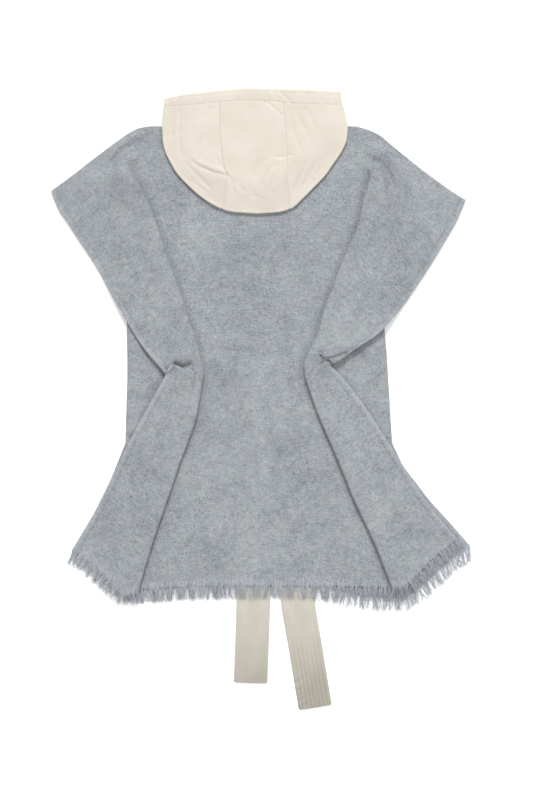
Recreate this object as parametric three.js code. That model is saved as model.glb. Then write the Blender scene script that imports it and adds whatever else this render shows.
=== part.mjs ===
// A hooded cape coat of thick blanket wool, laid flat on its front with its back up.
// Lengths are in millimetres. +Y runs up the body towards the hood, +X to the right hand side as it
// is seen from above, and +Z away from the surface that it lies on.
// "drop" is a distance down the body from the shoulder line, and "out" one sideways from the middle.
import * as THREE from "three";

// ---- Driving sizes ----
const WOOL = 2.4; // wall of the blanket wool
const NYLON = 1.4; // wall of the hood's nylon
const GAP = 0.3; // room left between two pieces that meet
const BEND = 2.6; // radius of a folded wall, at its middle
const PLEAT_BENDS = [BEND, 4.2]; // radii of a pleat's outer turn and of its inner fold, which is fuller
const LEAST_LAP = 2.4; // straight wall left between two turns that hardly overlap
const LAP_GROWTH = 3; // power of the closing at which a lap grows to its full length
const FLAT_TURN = 0.001; // least turn of a fold, as an unfolded one has no radius
const FRONT_Z = WOOL / 2; // middle of the front's wall
const BACK_Z = WOOL + GAP + WOOL / 2; // middle of the back's wall where it lies on the front
const SHOULDER = -2; // drop of the back's upper edge beside the hood
const SETTLE = { depth: 3.6, run: 44 }; // a wing sinks on its pleat beside the full inner fold
const DROOP = { lead: 4, run: 42 }; // where past the pleat's outer turn a wing comes down
const TUCK_FROM = 398; // drop of the last row above the waist tuck
const TUCK_TO = 440; // drop of the first row below it
const TIE_WIDTH = 58;
const TIE_WALL = 1.9; // plain under side to the stitched valleys
const TIE_RIB = 0.6; // how far the ribs stand over the valleys
const TIE_RIBS = 9;
const FRINGE_STRIP = 2.6; // depth of the woven strip that holds the strands
const FRINGE_WALL = 1.5;
const FRINGE_GAP = 0.7; // room between a hem and its strip, which cuts across the hem's corners

const COLOURS = { wool: 0xa5aab0, nylon: 0xeae2d5, webbing: 0xcac6ba };

// ---- The two pleated sides of the back, section by section down the body ----
// at: drop on the middle line; side: outer turn of the pleat; fold, foldDrop: its inner fold, where
// the wing turns out again; edge, edgeDrop: the wing's hemmed edge; bow: how far the row sags
// between them; turn: how far the pleat is folded, 1 being flat on itself.
const LEFT_UPPER = [
  { at: SHOULDER, side: 224, fold: 222, foldDrop: 7, edge: 364, edgeDrop: 112, bow: 0, turn: 0 },
  { at: 62, side: 237, fold: 235, foldDrop: 62, edge: 349, edgeDrop: 147, bow: 0, turn: 0 },
  { at: 80, side: 231, fold: 221, foldDrop: 80, edge: 335, edgeDrop: 167, bow: 0, turn: 0.32 },
  { at: 100, side: 229, fold: 206, foldDrop: 100, edge: 322, edgeDrop: 187, bow: 0, turn: 0.7 },
  { at: 128, side: 232, fold: 194, foldDrop: 128, edge: 306, edgeDrop: 211, bow: 0, turn: 1 },
  { at: 165, side: 235, fold: 180, foldDrop: 165, edge: 285, edgeDrop: 243, bow: 0, turn: 1 },
  { at: 238, side: 234, fold: 155, foldDrop: 238, edge: 251, edgeDrop: 305, bow: 0, turn: 1 },
  { at: 321, side: 232, fold: 126, foldDrop: 321, edge: 204, edgeDrop: 383, bow: 0, turn: 1 },
  { at: 398, side: 230, fold: 102, foldDrop: 398, edge: 160, edgeDrop: 436, bow: 0, turn: 1 },
];
const LEFT_LOWER = [
  { at: 440, side: 230, fold: 96, foldDrop: 440, edge: 164, edgeDrop: 440, bow: 0, turn: 1 },
  { at: 505, side: 232, fold: 107, foldDrop: 505, edge: 196, edgeDrop: 497, bow: 0, turn: 1 },
  { at: 592, side: 234, fold: 138, foldDrop: 594, edge: 233, edgeDrop: 567, bow: 0, turn: 1 },
  { at: 668, side: 237, fold: 164, foldDrop: 670, edge: 262, edgeDrop: 627, bow: 2, turn: 1 },
  { at: 738, side: 241, fold: 189, foldDrop: 744, edge: 295, edgeDrop: 688, bow: 8, turn: 1 },
  { at: 806, side: 248, fold: 210, foldDrop: 817, edge: 330, edgeDrop: 745, bow: 24, turn: 1 },
];
const RIGHT_UPPER = [
  { at: SHOULDER, side: 204, fold: 202, foldDrop: 5, edge: 365, edgeDrop: 126, bow: 4, turn: 0 },
  { at: 62, side: 200, fold: 198, foldDrop: 62, edge: 347, edgeDrop: 169, bow: 0, turn: 0 },
  { at: 80, side: 204, fold: 194, foldDrop: 80, edge: 338, edgeDrop: 184, bow: 0, turn: 0.32 },
  { at: 100, side: 210, fold: 189, foldDrop: 100, edge: 330, edgeDrop: 198, bow: 0, turn: 0.7 },
  { at: 128, side: 220, fold: 184, foldDrop: 128, edge: 317, edgeDrop: 220, bow: 0, turn: 1 },
  { at: 165, side: 224, fold: 177, foldDrop: 165, edge: 298, edgeDrop: 250, bow: 0, turn: 1 },
  { at: 238, side: 222, fold: 147, foldDrop: 238, edge: 256, edgeDrop: 312, bow: 0, turn: 1 },
  { at: 321, side: 222, fold: 116, foldDrop: 321, edge: 225, edgeDrop: 349, bow: 0, turn: 1 },
  { at: 365, side: 224, fold: 100, foldDrop: 365, edge: 202, edgeDrop: 370, bow: 0, turn: 1 },
  { at: 398, side: 227, fold: 89, foldDrop: 398, edge: 178, edgeDrop: 385, bow: 0, turn: 1 },
];
const RIGHT_LOWER = [
  { at: 440, side: 229, fold: 81, foldDrop: 440, edge: 126, edgeDrop: 418, bow: 0, turn: 1 },
  { at: 466, side: 231, fold: 88, foldDrop: 466, edge: 145, edgeDrop: 436, bow: 0, turn: 1 },
  { at: 504, side: 233, fold: 104, foldDrop: 504, edge: 168, edgeDrop: 464, bow: 0, turn: 1 },
  { at: 580, side: 237, fold: 138, foldDrop: 581, edge: 213, edgeDrop: 529, bow: 0, turn: 1 },
  { at: 652, side: 242, fold: 168, foldDrop: 654, edge: 254, edgeDrop: 594, bow: 2, turn: 1 },
  { at: 730, side: 250, fold: 205, foldDrop: 733, edge: 301, edgeDrop: 664, bow: 6, turn: 1 },
  { at: 806, side: 259, fold: 235, foldDrop: 810, edge: 350, edgeDrop: 724, bow: 10, turn: 1 },
];
// How a row of the back sinks from the middle line to the pleat: suddenly at the shoulder, and more
// evenly past the given drop. A row's bow is fullest at the share of the wing whose power is a half.
const ROW_CURVE = { shoulder: 8, body: 3, drop: 200 };
const BOW_POWER = 0.6;

// The waist tuck is a second pleat, across each wing. It is nothing at the inner fold and deepest at
// the hemmed edge. near/far: the two turns at the inner fold and at the edge; over: 1 where the
// lower part of the wing lies on the upper one, -1 where it comes out from under it; dip: how far the
// second turn sags between them; bends: radii of the two turns; opens: shares of the wing where the
// tuck starts and is full; clears: drops between which the part on top comes down.
const LEFT = {
  sign: -1,
  upper: LEFT_UPPER,
  lower: LEFT_LOWER,
  tuck: {
    over: 1,
    near: { first: [100, 430], second: [100, 415] },
    far: { first: [147, 456], second: [155, 415] },
    dip: 5,
    bends: [BEND, 3],
    opens: [0, 0.75],
    clears: { from: 452, to: 545 },
  },
};
const RIGHT = {
  sign: 1,
  upper: RIGHT_UPPER,
  lower: RIGHT_LOWER,
  tuck: {
    over: -1,
    near: { first: [92, 425], second: [92, 408] },
    far: { first: [161, 401], second: [187, 376] },
    dip: 0,
    bends: [4.2, BEND],
    opens: [0.05, 0.6],
    clears: { from: 345, to: 262 },
  },
};

const TUCK_EASE = { height: 0.3, way: 0.5 }; // shares of the closing by which these are in full

// Rows between the tables' own, and how finely each stretch of a row is cut.
const ROWS_ABOVE = [SHOULDER, 25, 50, 62, 72, 82, 92, 102, 114, 128, 150, 180, 215, 260, 310, 355];
const ROWS_BELOW = [466, 504, 545, 590, 635, 680, 725, 768, 806];
const CELLS = { body: 5, turn: 4, lap: 2 };
const WING_SHARES = [0, 0.1, 0.2, 0.3, 0.4, 0.5, 0.75, 1]; // columns from the inner fold to the edge
const TUCK_CELLS = { lead: 2, turn: 4, lap: 2 };

// ---- Small helpers ----
const clamp = (value, low, high) => Math.min(high, Math.max(low, value));
const mix = (a, b, share) => a + (b - a) * share;
const mixPair = (a, b, share) => [mix(a[0], b[0], share), mix(a[1], b[1], share)];

function smooth(from, to, value) {
  const share = clamp((value - from) / (to - from), 0, 1);
  return share * share * (3 - 2 * share);
}

// Every value of a table between its rows, by cubic pieces that never overshoot.
function reader(table) {
  const places = table.map((row) => row.at);
  const slopes = {};
  for (const column of Object.keys(table[0])) {
    const rises = places.slice(1).map((place, i) => {
      return (table[i + 1][column] - table[i][column]) / (place - places[i]);
    });
    slopes[column] = places.map((_, i) => {
      const before = rises[Math.max(i - 1, 0)];
      const after = rises[Math.min(i, rises.length - 1)];
      return before * after > 0 ? (2 * before * after) / (before + after) : 0;
    });
  }
  return (at) => {
    const found = places.findIndex((place) => place > at);
    const i = clamp((found < 0 ? places.length : found) - 1, 0, places.length - 2);
    const span = places[i + 1] - places[i];
    const s = clamp((at - places[i]) / span, 0, 1);
    const row = {};
    for (const column of Object.keys(slopes)) {
      const [a, b] = [table[i][column], table[i + 1][column]];
      const [sa, sb] = [slopes[column][i] * span, slopes[column][i + 1] * span];
      const cube = 2 * (a - b) + sa + sb;
      row[column] = a + sa * s + (3 * (b - a) - 2 * sa - sb) * s * s + cube * s * s * s;
    }
    return row;
  };
}

// A closed wall on a patch of quads. The points stay in its middle: its upper face is `over` away
// along each point's normal and its lower face `under` away, and every free edge is closed.
function wallGeometry(points, quads, over, under) {
  const normals = points.map(() => new THREE.Vector3());
  for (const [a, b, c, d] of quads) {
    const across = points[c].clone().sub(points[a]);
    const normal = across.cross(points[d].clone().sub(points[b]));
    for (const corner of [a, b, c, d]) normals[corner].add(normal);
  }
  normals.forEach((normal) => normal.normalize());
  const upper = points.map((point, i) => point.clone().addScaledVector(normals[i], over(i)));
  const lower = points.map((point, i) => point.clone().addScaledVector(normals[i], -under(i)));
  const corners = [];
  const face = (...list) => list.forEach((corner) => corners.push(corner.x, corner.y, corner.z));
  const used = new Set(quads.flatMap((q) => q.map((from, i) => `${from}>${q[(i + 1) % 4]}`)));
  for (const quad of quads) {
    const [a, b, c, d] = quad;
    face(upper[a], upper[b], upper[c], upper[a], upper[c], upper[d]);
    face(lower[a], lower[c], lower[b], lower[a], lower[d], lower[c]);
    quad.forEach((from, i) => {
      const to = quad[(i + 1) % 4];
      if (used.has(`${to}>${from}`)) return;
      face(upper[from], lower[from], lower[to], upper[from], lower[to], upper[to]);
    });
  }
  const geometry = new THREE.BufferGeometry();
  geometry.setAttribute("position", new THREE.Float32BufferAttribute(corners, 3));
  geometry.computeVertexNormals();
  return geometry;
}

// The quads of a grid of rows, with its upper side where the rows run down and the columns right.
function gridQuads(rows, columns) {
  const quads = [];
  for (let r = 0; r + 1 < rows; r++) {
    for (let c = 0; c + 1 < columns; c++) {
      const corner = r * columns + c;
      quads.push([corner, corner + columns, corner + columns + 1, corner + 1]);
    }
  }
  return quads;
}

function gridWall(rows, over, under) {
  const same = (value) => (typeof value === "function" ? value : () => value);
  const quads = gridQuads(rows.length, rows[0].length);
  return wallGeometry(rows.flat(), quads, same(over), same(under));
}

const materials = {
  wool: new THREE.MeshStandardMaterial({ color: COLOURS.wool, roughness: 0.95, metalness: 0 }),
  nylon: new THREE.MeshStandardMaterial({ color: COLOURS.nylon, roughness: 0.55, metalness: 0 }),
  webbing: new THREE.MeshStandardMaterial({ color: COLOURS.webbing, roughness: 0.7, metalness: 0 }),
};

function piece(name, geometry, material) {
  const mesh = new THREE.Mesh(geometry, materials[material].clone());
  mesh.name = name;
  return mesh;
}

// ---- Ties: two flat sewn bands from the waist, between front and back, out past the hem ----
// One row for each place along a tie's middle line.
const TIES = {
  tie_left: [
    { at: 418, out: 0 },
    { at: 600, out: -3 },
    { at: 830, out: -8 },
    { at: 978, out: -13 },
  ],
  tie_right: [
    { at: 418, out: 66 },
    { at: 700, out: 66 },
    { at: 790, out: 67 },
    { at: 830, out: 70 },
    { at: 924, out: 85 },
    { at: 1021, out: 101 },
  ],
};
const TIE_STOPS = [418, 600, 740, 818, 828, 838, 852, 866, 880];
const TIE_REST = WOOL + GAP; // under side of a tie where it lies on the front
const TIE_LEAVES = { from: 818, over: 838, down: 880 }; // where it runs off the fringe to the surface
const TIE_ON_FRINGE = 2;

function tieUnderside(drop) {
  const onFringe = mix(TIE_REST, TIE_ON_FRINGE, smooth(TIE_LEAVES.from, TIE_LEAVES.over, drop));
  return onFringe * (1 - smooth(TIE_LEAVES.over, TIE_LEAVES.down, drop));
}

function tie(name) {
  const read = reader(TIES[name]);
  const end = TIES[name].at(-1).at;
  const columns = TIE_RIBS * 2 + 1;
  const rows = [];
  for (const drop of [...TIE_STOPS, end]) {
    const lean = (read(drop + 1).out - read(drop - 1).out) / 2;
    const along = Math.hypot(1, lean);
    rows.push(
      Array.from({ length: columns }, (_, c) => {
        const across = (c / (columns - 1) - 0.5) * TIE_WIDTH;
        const x = read(drop).out + across / along;
        return new THREE.Vector3(x, -drop - (across * -lean) / along, tieUnderside(drop));
      }),
    );
  }
  const ribbed = (i) => TIE_WALL + (i % columns % 2 ? TIE_RIB : 0);
  return piece(name, gridWall(rows, ribbed, 0), "webbing");
}

// How far the back is raised over the ties.
const TIE_BED = { left: -42, right: 100, top: 418, fade: 46 };
const TIE_RISE = TIE_WALL + TIE_RIB + GAP;

function tieRise(x, drop) {
  const sideways = Math.max(TIE_BED.left - x, x - TIE_BED.right, 0);
  const upwards = Math.max(TIE_BED.top - drop, 0);
  return TIE_RISE * (1 - smooth(0, TIE_BED.fade, Math.hypot(sideways, upwards)));
}

// ---- The back: one sheet, pleated in at both sides and tucked across at the waist ----

// Places along a folded wall: in along the body, round a turn, back over the lap, round again. The
// folding goes on from flat (0) to closed (1) with the same length of wall in its turns.
function foldPath(turn, lap, bends, cells) {
  const angle = Math.max(turn, FLAT_TURN) * Math.PI;
  const radius = bends.map((bend) => (Math.PI * bend) / angle);
  const path = [];
  for (let i = 0; i <= cells.turn; i++) {
    const part = (angle * i) / cells.turn;
    path.push([radius[0] * Math.sin(part), radius[0] * (1 - Math.cos(part))]);
  }
  const [x0, z0] = path.at(-1);
  for (let i = 1; i <= cells.lap; i++) {
    const run = (lap * i) / cells.lap;
    path.push([x0 + run * Math.cos(angle), z0 + run * Math.sin(angle)]);
  }
  const [x1, z1] = path.at(-1);
  for (let i = 1; i <= cells.turn; i++) {
    const left = angle * (1 - i / cells.turn);
    const run = radius[1] * (Math.sin(angle) - Math.sin(left));
    path.push([x1 + run, z1 + radius[1] * (Math.cos(left) - Math.cos(angle))]);
  }
  return path;
}

// The pleat's share of one row: from the body's last point to the wing's first.
function pleatPath(row) {
  const [outer, inner] = PLEAT_BENDS;
  const width = row.side - row.fold - outer - inner - WOOL;
  const lap = Math.max(width * row.turn ** LAP_GROWTH, LEAST_LAP);
  const path = foldPath(row.turn, lap, PLEAT_BENDS, CELLS);
  const middle = (path[0][0] + path.at(-1)[0]) / 2;
  const centre = (row.side + row.fold + (inner - outer) * row.turn) / 2;
  return path.map(([run, rise]) => [run - middle + centre, rise]);
}

// A point of the wing that the tuck leaves alone; `share` goes from the inner fold to the edge.
function wingPoint(row, share) {
  const [start, rise] = pleatPath(row).at(-1);
  const out = mix(start, row.edge, share);
  const bow = row.bow * Math.sin(Math.PI * share ** BOW_POWER) ** 2;
  const drop = mix(row.foldDrop, row.edgeDrop, share) + bow;
  const settled = rise - SETTLE.depth * row.turn * smooth(0, SETTLE.run, out - start);
  const down = smooth(row.side - DROOP.lead, row.side + DROOP.run, out);
  return { plan: [out, drop], z: BACK_Z + settled * (1 - down) };
}

// The tuck's heights: what its two turns and its lap add at a share of the wing.
function tuckAmount(tuck, share) {
  return smooth(tuck.opens[0], tuck.opens[1], share);
}

function tuckHeight(tuck, share) {
  const path = foldPath(tuckAmount(tuck, share), 0, tuck.bends, TUCK_CELLS);
  return path.at(-1)[1] * smooth(0, TUCK_EASE.height, tuckAmount(tuck, share));
}

// The tuck's wall at one share of the wing, from the last row above it to the first below it.
function tuckColumn(side, share) {
  const { tuck } = side;
  const { bends } = tuck;
  const above = wingPoint(reader(side.upper)(TUCK_FROM), share);
  const below = wingPoint(reader(side.lower)(TUCK_TO), share);
  const first = mixPair(tuck.near.first, tuck.far.first, share);
  const second = mixPair(tuck.near.second, tuck.far.second, share);
  second[1] += tuck.dip * Math.sin(Math.PI * share);
  const amount = tuckAmount(tuck, share);
  const span = [first[0] - second[0], first[1] - second[1]];
  const depth = Math.hypot(...span);
  const closed = [span[0] / depth, span[1] / depth];
  const open = [below.plan[0] - above.plan[0], below.plan[1] - above.plan[1]];
  const openLength = Math.hypot(...open);
  const flat = [open[0] / openLength, open[1] / openLength];
  const opening = smooth(0, TUCK_EASE.way, amount);
  const mixed = mixPair(flat, closed, opening);
  const length = Math.hypot(...mixed);
  const ahead = [mixed[0] / length, mixed[1] / length];
  const lap = Math.max((depth - bends[0] - bends[1] - WOOL) * amount ** LAP_GROWTH, LEAST_LAP);
  const path = foldPath(amount, lap, bends, TUCK_CELLS);
  const middle = (path[0][0] + path.at(-1)[0]) / 2;
  const openCentre = mixPair(above.plan, below.plan, 0.5);
  const centre = mixPair(openCentre, mixPair(first, second, 0.5), opening);
  const raised = tuckHeight(tuck, share);
  const top = path.at(-1)[1];
  const levels = tuck.over > 0 ? [above.z, above.z + raised] : [above.z + raised, above.z];
  const scale = (levels[1] - levels[0]) / (top || 1);
  const folded = path.map(([run, rise]) => ({
    plan: [centre[0] + ahead[0] * (run - middle), centre[1] + ahead[1] * (run - middle)],
    z: levels[0] + rise * scale,
  }));
  const entry = { plan: above.plan, z: levels[0] };
  const exit = { plan: below.plan, z: levels[1] };
  const lead = (from, to, i) => ({
    plan: mixPair(from.plan, to.plan, i / TUCK_CELLS.lead),
    z: mix(from.z, to.z, i / TUCK_CELLS.lead),
  });
  const steps = Array.from({ length: TUCK_CELLS.lead }, (_, i) => i);
  return [
    ...steps.map((i) => lead(entry, folded[0], i)),
    ...folded,
    ...steps.map((i) => lead(folded.at(-1), exit, i + 1)),
  ];
}

// How much of the tuck's height a row outside it still has: the part of the wing that lies on top
// comes down to its own level further along.
function tuckLift(side, at, share) {
  const { over, clears } = side.tuck;
  const onTop = over > 0 ? at >= TUCK_TO : at <= TUCK_FROM;
  if (!onTop) return 0;
  return tuckHeight(side.tuck, share) * (1 - smooth(clears.from, clears.to, at));
}

// One side's half of a row, from the middle line out to the hemmed edge, before it is mirrored.
function halfRow(row, wing) {
  const fold = pleatPath(row);
  const reach = fold[0][0];
  const curve = mix(ROW_CURVE.shoulder, ROW_CURVE.body, smooth(0, ROW_CURVE.drop, row.at));
  const half = [];
  for (let i = 0; i < CELLS.body; i++) {
    const out = (reach * i) / CELLS.body;
    half.push({ plan: [out, mix(row.at, row.foldDrop, (out / reach) ** curve)], z: BACK_Z });
  }
  fold.forEach(([out, rise]) => half.push({ plan: [out, row.foldDrop], z: BACK_Z + rise }));
  return [...half, ...wing.slice(1)];
}

function place(sign, point) {
  const x = sign * point.plan[0];
  return new THREE.Vector3(x, -point.plan[1], point.z + tieRise(x, point.plan[1]));
}

// All rows of one side, as lists of points from the middle line outwards.
function sideRows(side) {
  const readUpper = reader(side.upper);
  const readLower = reader(side.lower);
  const plain = (row) => {
    const wing = WING_SHARES.map((share) => {
      const point = wingPoint(row, share);
      return { plan: point.plan, z: point.z + tuckLift(side, row.at, share) };
    });
    return halfRow(row, wing);
  };
  const columns = WING_SHARES.map((share) => tuckColumn(side, share));
  const inTuck = columns[0].map((start, i) => {
    const at = start.plan[1];
    const part = smooth(TUCK_FROM, TUCK_TO, at);
    const [upper, lower] = [readUpper(TUCK_FROM), readLower(TUCK_TO)];
    const row = {};
    for (const column of Object.keys(upper)) row[column] = mix(upper[column], lower[column], part);
    row.at = at;
    row.foldDrop = at;
    return halfRow(row, columns.map((column) => column[i]));
  });
  return [
    ...ROWS_ABOVE.map((at) => plain(readUpper(at))),
    ...inTuck,
    ...ROWS_BELOW.map((at) => plain(readLower(at))),
  ].map((row) => row.map((point) => place(side.sign, point)));
}

const leftRows = sideRows(LEFT);
const rightRows = sideRows(RIGHT);
const backRows = leftRows.map((row, i) => [...row.slice(1).reverse(), ...rightRows[i]]);

// ---- The front: two flat halves that meet at the middle, under the back ----
// Each outline runs from the shoulder line down the hemmed edge, and then in along the fringed hem.
const FRONT_EDGES = {
  front_left: [
    { out: 190, drop: 0 },
    { out: 250, drop: 32 },
    { out: 359, drop: 119 },
    { out: 303, drop: 206 },
    { out: 245, drop: 300 },
    { out: 231, drop: 336 },
    { out: 229, drop: 440 },
    { out: 233, drop: 556 },
    { out: 272, drop: 652 },
    { out: 328, drop: 746 },
  ],
  front_right: [
    { out: 175, drop: 0 },
    { out: 222, drop: 24 },
    { out: 277, drop: 66 },
    { out: 359, drop: 129 },
    { out: 326, drop: 189 },
    { out: 288, drop: 243 },
    { out: 248, drop: 303 },
    { out: 222, drop: 346 },
    { out: 228, drop: 442 },
    { out: 236, drop: 556 },
    { out: 255, drop: 596 },
    { out: 301, drop: 656 },
    { out: 343, drop: 702 },
    { out: 374, drop: 738 },
  ],
};
const FRONT_HEMS = {
  front_left: [
    { out: 328, drop: 746 },
    { out: 292, drop: 768 },
    { out: 262, drop: 796 },
    { out: 214, drop: 816 },
    { out: 110, drop: 808 },
  ],
  front_right: [
    { out: 374, drop: 738 },
    { out: 346, drop: 756 },
    { out: 318, drop: 780 },
    { out: 288, drop: 808 },
    { out: 258, drop: 829 },
    { out: 197, drop: 827 },
    { out: 110, drop: 809 },
  ],
};
const FRONT_HEM_DROP = 806;
const FRONT_SIGN = { front_left: -1, front_right: 1 };

function frontHem(name) {
  const sign = FRONT_SIGN[name];
  const hem = FRONT_HEMS[name].map((p) => new THREE.Vector3(sign * p.out, -p.drop, FRONT_Z));
  return [...hem, new THREE.Vector3((sign * GAP) / 2, -FRONT_HEM_DROP, FRONT_Z)];
}

function front(name) {
  const sign = FRONT_SIGN[name];
  const edge = FRONT_EDGES[name].map((p) => new THREE.Vector2(sign * p.out, -p.drop));
  const hem = frontHem(name).slice(1).map((p) => new THREE.Vector2(p.x, p.y));
  const outline = new THREE.Shape([new THREE.Vector2((sign * GAP) / 2, 0), ...edge, ...hem]);
  const geometry = new THREE.ExtrudeGeometry(outline, { depth: WOOL, bevelEnabled: false });
  return piece(name, geometry, "wool");
}

// ---- The fringed hems ----
// A strip that runs along a hem from left to right, just clear of the cloth, and the strands that
// grow out of it. They are spread unevenly and come down by `sink` from root to tip.
const FRINGES = {
  fringe_back_left: { pitch: 7.4, seed: 1 },
  fringe_back_centre: { pitch: 7.4, seed: 2 },
  fringe_back_right: { pitch: 7.4, seed: 3 },
  fringe_front_left: { pitch: 8.2, seed: 4 },
  fringe_front_right: { pitch: 8.2, seed: 5 },
};
// uneven: share of a strand's length that it may lack; lean: how far it leans along the hem;
// straight: how far it hangs straight down rather than square to a slanted hem; steps: turns of the
// two waves that spread lengths and leans; flat, level: how much of a stretch of hem lies flat where
// its way is taken from its slant, and where a strand grows.
const STRAND = {
  length: 22,
  uneven: 0.14,
  lean: 0.12,
  tip: 1.2,
  tipWall: 0.8,
  straight: 0.4,
  steps: { length: 5.1, lean: 2.4 },
  flat: 0.5,
  level: 0.9,
};

// Points at a distance along a line of points.
function runner(line) {
  const spans = line.slice(1).map((point, i) => point.distanceTo(line[i]));
  const whole = spans.reduce((sum, span) => sum + span, 0);
  const at = (run) => {
    let left = clamp(run, 0, whole);
    let i = 0;
    while (left > spans[i] && i + 1 < spans.length) left -= spans[i++];
    return line[i].clone().lerp(line[i + 1], left / spans[i]);
  };
  return { whole, at };
}

function fringe(name, hem, sink) {
  const { pitch, seed } = FRINGES[name];
  const { whole, at } = runner(hem);
  const strands = Math.round((whole - 2 * GAP) / pitch);
  const uneven = (i, step) => Math.sin(i * step + seed);
  const points = [];
  const quads = [];
  const walls = [];
  const add = (point, wall) => {
    walls.push(wall / 2);
    return points.push(point) - 1;
  };
  const near = [];
  const far = [];
  const ways = [];
  const levels = []; // no strand grows where the hem stands on edge, round a turn
  for (let i = 0; i <= 2 * strands; i++) {
    const run = mix(GAP, whole - GAP, i / (2 * strands));
    const along = at(run + 1).sub(at(run - 1));
    const level = Math.hypot(along.x, along.y) / along.length();
    const way = new THREE.Vector3(-along.y, along.x, 0).multiplyScalar(along.x > 0 ? -1 : 1);
    ways.push(level > STRAND.flat ? way.normalize() : new THREE.Vector3(0, -1, 0));
    levels.push(level > STRAND.level);
    near.push(add(at(run).addScaledVector(ways[i], FRINGE_GAP), FRINGE_WALL));
    const depth = FRINGE_GAP + FRINGE_STRIP;
    far.push(add(at(run).addScaledVector(ways[i], depth), FRINGE_WALL));
  }
  for (let i = 0; i < 2 * strands; i++) {
    quads.push([near[i], far[i], far[i + 1], near[i + 1]]);
    if (i % 2 || !levels[i]) continue;
    const [from, to] = [points[far[i]], points[far[i + 1]]];
    const side = to.clone().sub(from).normalize();
    const way = ways[i].clone().lerp(new THREE.Vector3(0, -1, 0), STRAND.straight);
    way.addScaledVector(side, STRAND.lean * uneven(i, STRAND.steps.lean)).normalize();
    const tip = from.clone().lerp(to, 0.5);
    tip.z -= sink(tip.z);
    const lacks = STRAND.uneven * (1 + uneven(i, STRAND.steps.length));
    tip.addScaledVector(way, STRAND.length * (1 - lacks));
    side.multiplyScalar(STRAND.tip / 2);
    const left = add(tip.clone().sub(side), STRAND.tipWall);
    const right = add(tip.clone().add(side), STRAND.tipWall);
    quads.push([far[i], left, right, far[i + 1]]);
  }
  return piece(name, wallGeometry(points, quads, (i) => walls[i], (i) => walls[i]), "wool");
}

// ---- The hood: three panels and a gathered channel round its mouth, lying on the back ----
// Its outline and its two long seams, by drop, each as a distance out from the middle line.
const HOOD = [
  { at: -70, left: 163, right: 148, seamLeft: 69, seamRight: 43 },
  { at: -46, left: 165, right: 150, seamLeft: 69, seamRight: 44 },
  { at: -1, left: 168, right: 158, seamLeft: 70, seamRight: 48 },
  { at: 35, left: 165, right: 151, seamLeft: 66, seamRight: 51 },
  { at: 79, left: 143, right: 123, seamLeft: 61, seamRight: 50.5 },
  { at: 118, left: 104, right: 91, seamLeft: 59, seamRight: 51.5 },
  { at: 141, left: 68, right: 60, seamLeft: 61, seamRight: 53 },
  { at: 148, left: 44, right: 38, seamLeft: 62, seamRight: 53 },
  { at: 151, left: 0, right: 0, seamLeft: 62, seamRight: 53 },
];
// The mouth's edge and the channel's seam, from left to right.
const MOUTH = [
  { at: -168, rim: -50, seam: -37 },
  { at: -130, rim: -57, seam: -39 },
  { at: -97, rim: -61, seam: -41.5 },
  { at: -68, rim: -64, seam: -44.5 },
  { at: -17, rim: -68, seam: -47.5 },
  { at: 17, rim: -67, seam: -46.5 },
  { at: 66, rim: -66, seam: -42 },
  { at: 158, rim: -62, seam: -40 },
];
// Soft troughs that run from the channel into the panels: where, how deep and how far.
const GATHERS = [
  { out: -136, depth: 1.6, reach: 46 },
  { out: -86, depth: 2.6, reach: 70 },
  { out: -48, depth: 1.4, reach: 36 },
  { out: 18, depth: 2.4, reach: 60 },
  { out: 54, depth: 2.6, reach: 76 },
  { out: 84, depth: 1.4, reach: 40 },
  { out: 116, depth: 2.2, reach: 56 },
];
const GATHER_WIDTH = 9;
const HOOD_BASE = BACK_Z + WOOL / 2 + GAP + NYLON / 2; // middle of the sheet that lies on the back
const HOOD_EDGE = { rise: 6, run: 10 }; // from that sheet up to the outline
const HOOD_TOP = { rise: 15, run: 18 }; // from the outline up to the top sheet
const HOOD_SEAM_END = 141; // drop at which the long seams turn under
const HOOD_TURN_IN = 13; // how far the mouth's sides turn under
const RIM_WIDTHS_AT = { rim: -60, seam: -44 }; // drops whose outline the channel's two edges reach
const CROWD = { over: 2, under: 1.6 }; // powers that crowd points towards the outline
const HALVINGS = 30; // enough to find a place on the outline
const NECK = { from: -10, to: 26 }; // the neck seam, from the sides to the middle
const CHANNEL = { raise: 0.7, ripple: 0.5, ripples: 26 };

const hoodRow = reader(HOOD);
const mouth = reader(MOUTH);

function hoodWidth(x, drop) {
  return x < 0 ? hoodRow(drop).left : hoodRow(drop).right;
}

// The drop at which the outline passes a distance out, on its way in to the crown.
function crownDrop(x) {
  let [low, high] = [HOOD[2].at, HOOD.at(-1).at];
  for (let i = 0; i < HALVINGS; i++) {
    const middle = (low + high) / 2;
    if (hoodWidth(x, middle) > Math.abs(x)) low = middle;
    else high = middle;
  }
  return low;
}

// How far inside the outline a place is, square to the outline.
function inset(x, drop) {
  const sideways = Math.max(hoodWidth(x, drop) - Math.abs(x), 0);
  const down = Math.max(crownDrop(x) - drop, 0);
  return sideways * down ? (sideways * down) / Math.hypot(sideways, down) : 0;
}

const round = (share) => Math.sqrt(1 - (1 - clamp(share, 0, 1)) ** 2);

function gather(x, drop) {
  return GATHERS.reduce((sum, g) => {
    const across = Math.exp(-(((x - g.out) / GATHER_WIDTH) ** 2));
    return sum + g.depth * across * (1 - smooth(0, g.reach, drop - mouth(x).seam));
  }, 0);
}

function hoodPoint(x, drop, top) {
  const edge = HOOD_BASE + HOOD_EDGE.rise;
  const inside = inset(x, drop);
  const upper = edge + HOOD_TOP.rise * round(inside / HOOD_TOP.run) - gather(x, drop);
  const lower = edge - HOOD_EDGE.rise * round(inside / HOOD_EDGE.run);
  return new THREE.Vector3(x, -drop, top ? upper : lower);
}

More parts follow.
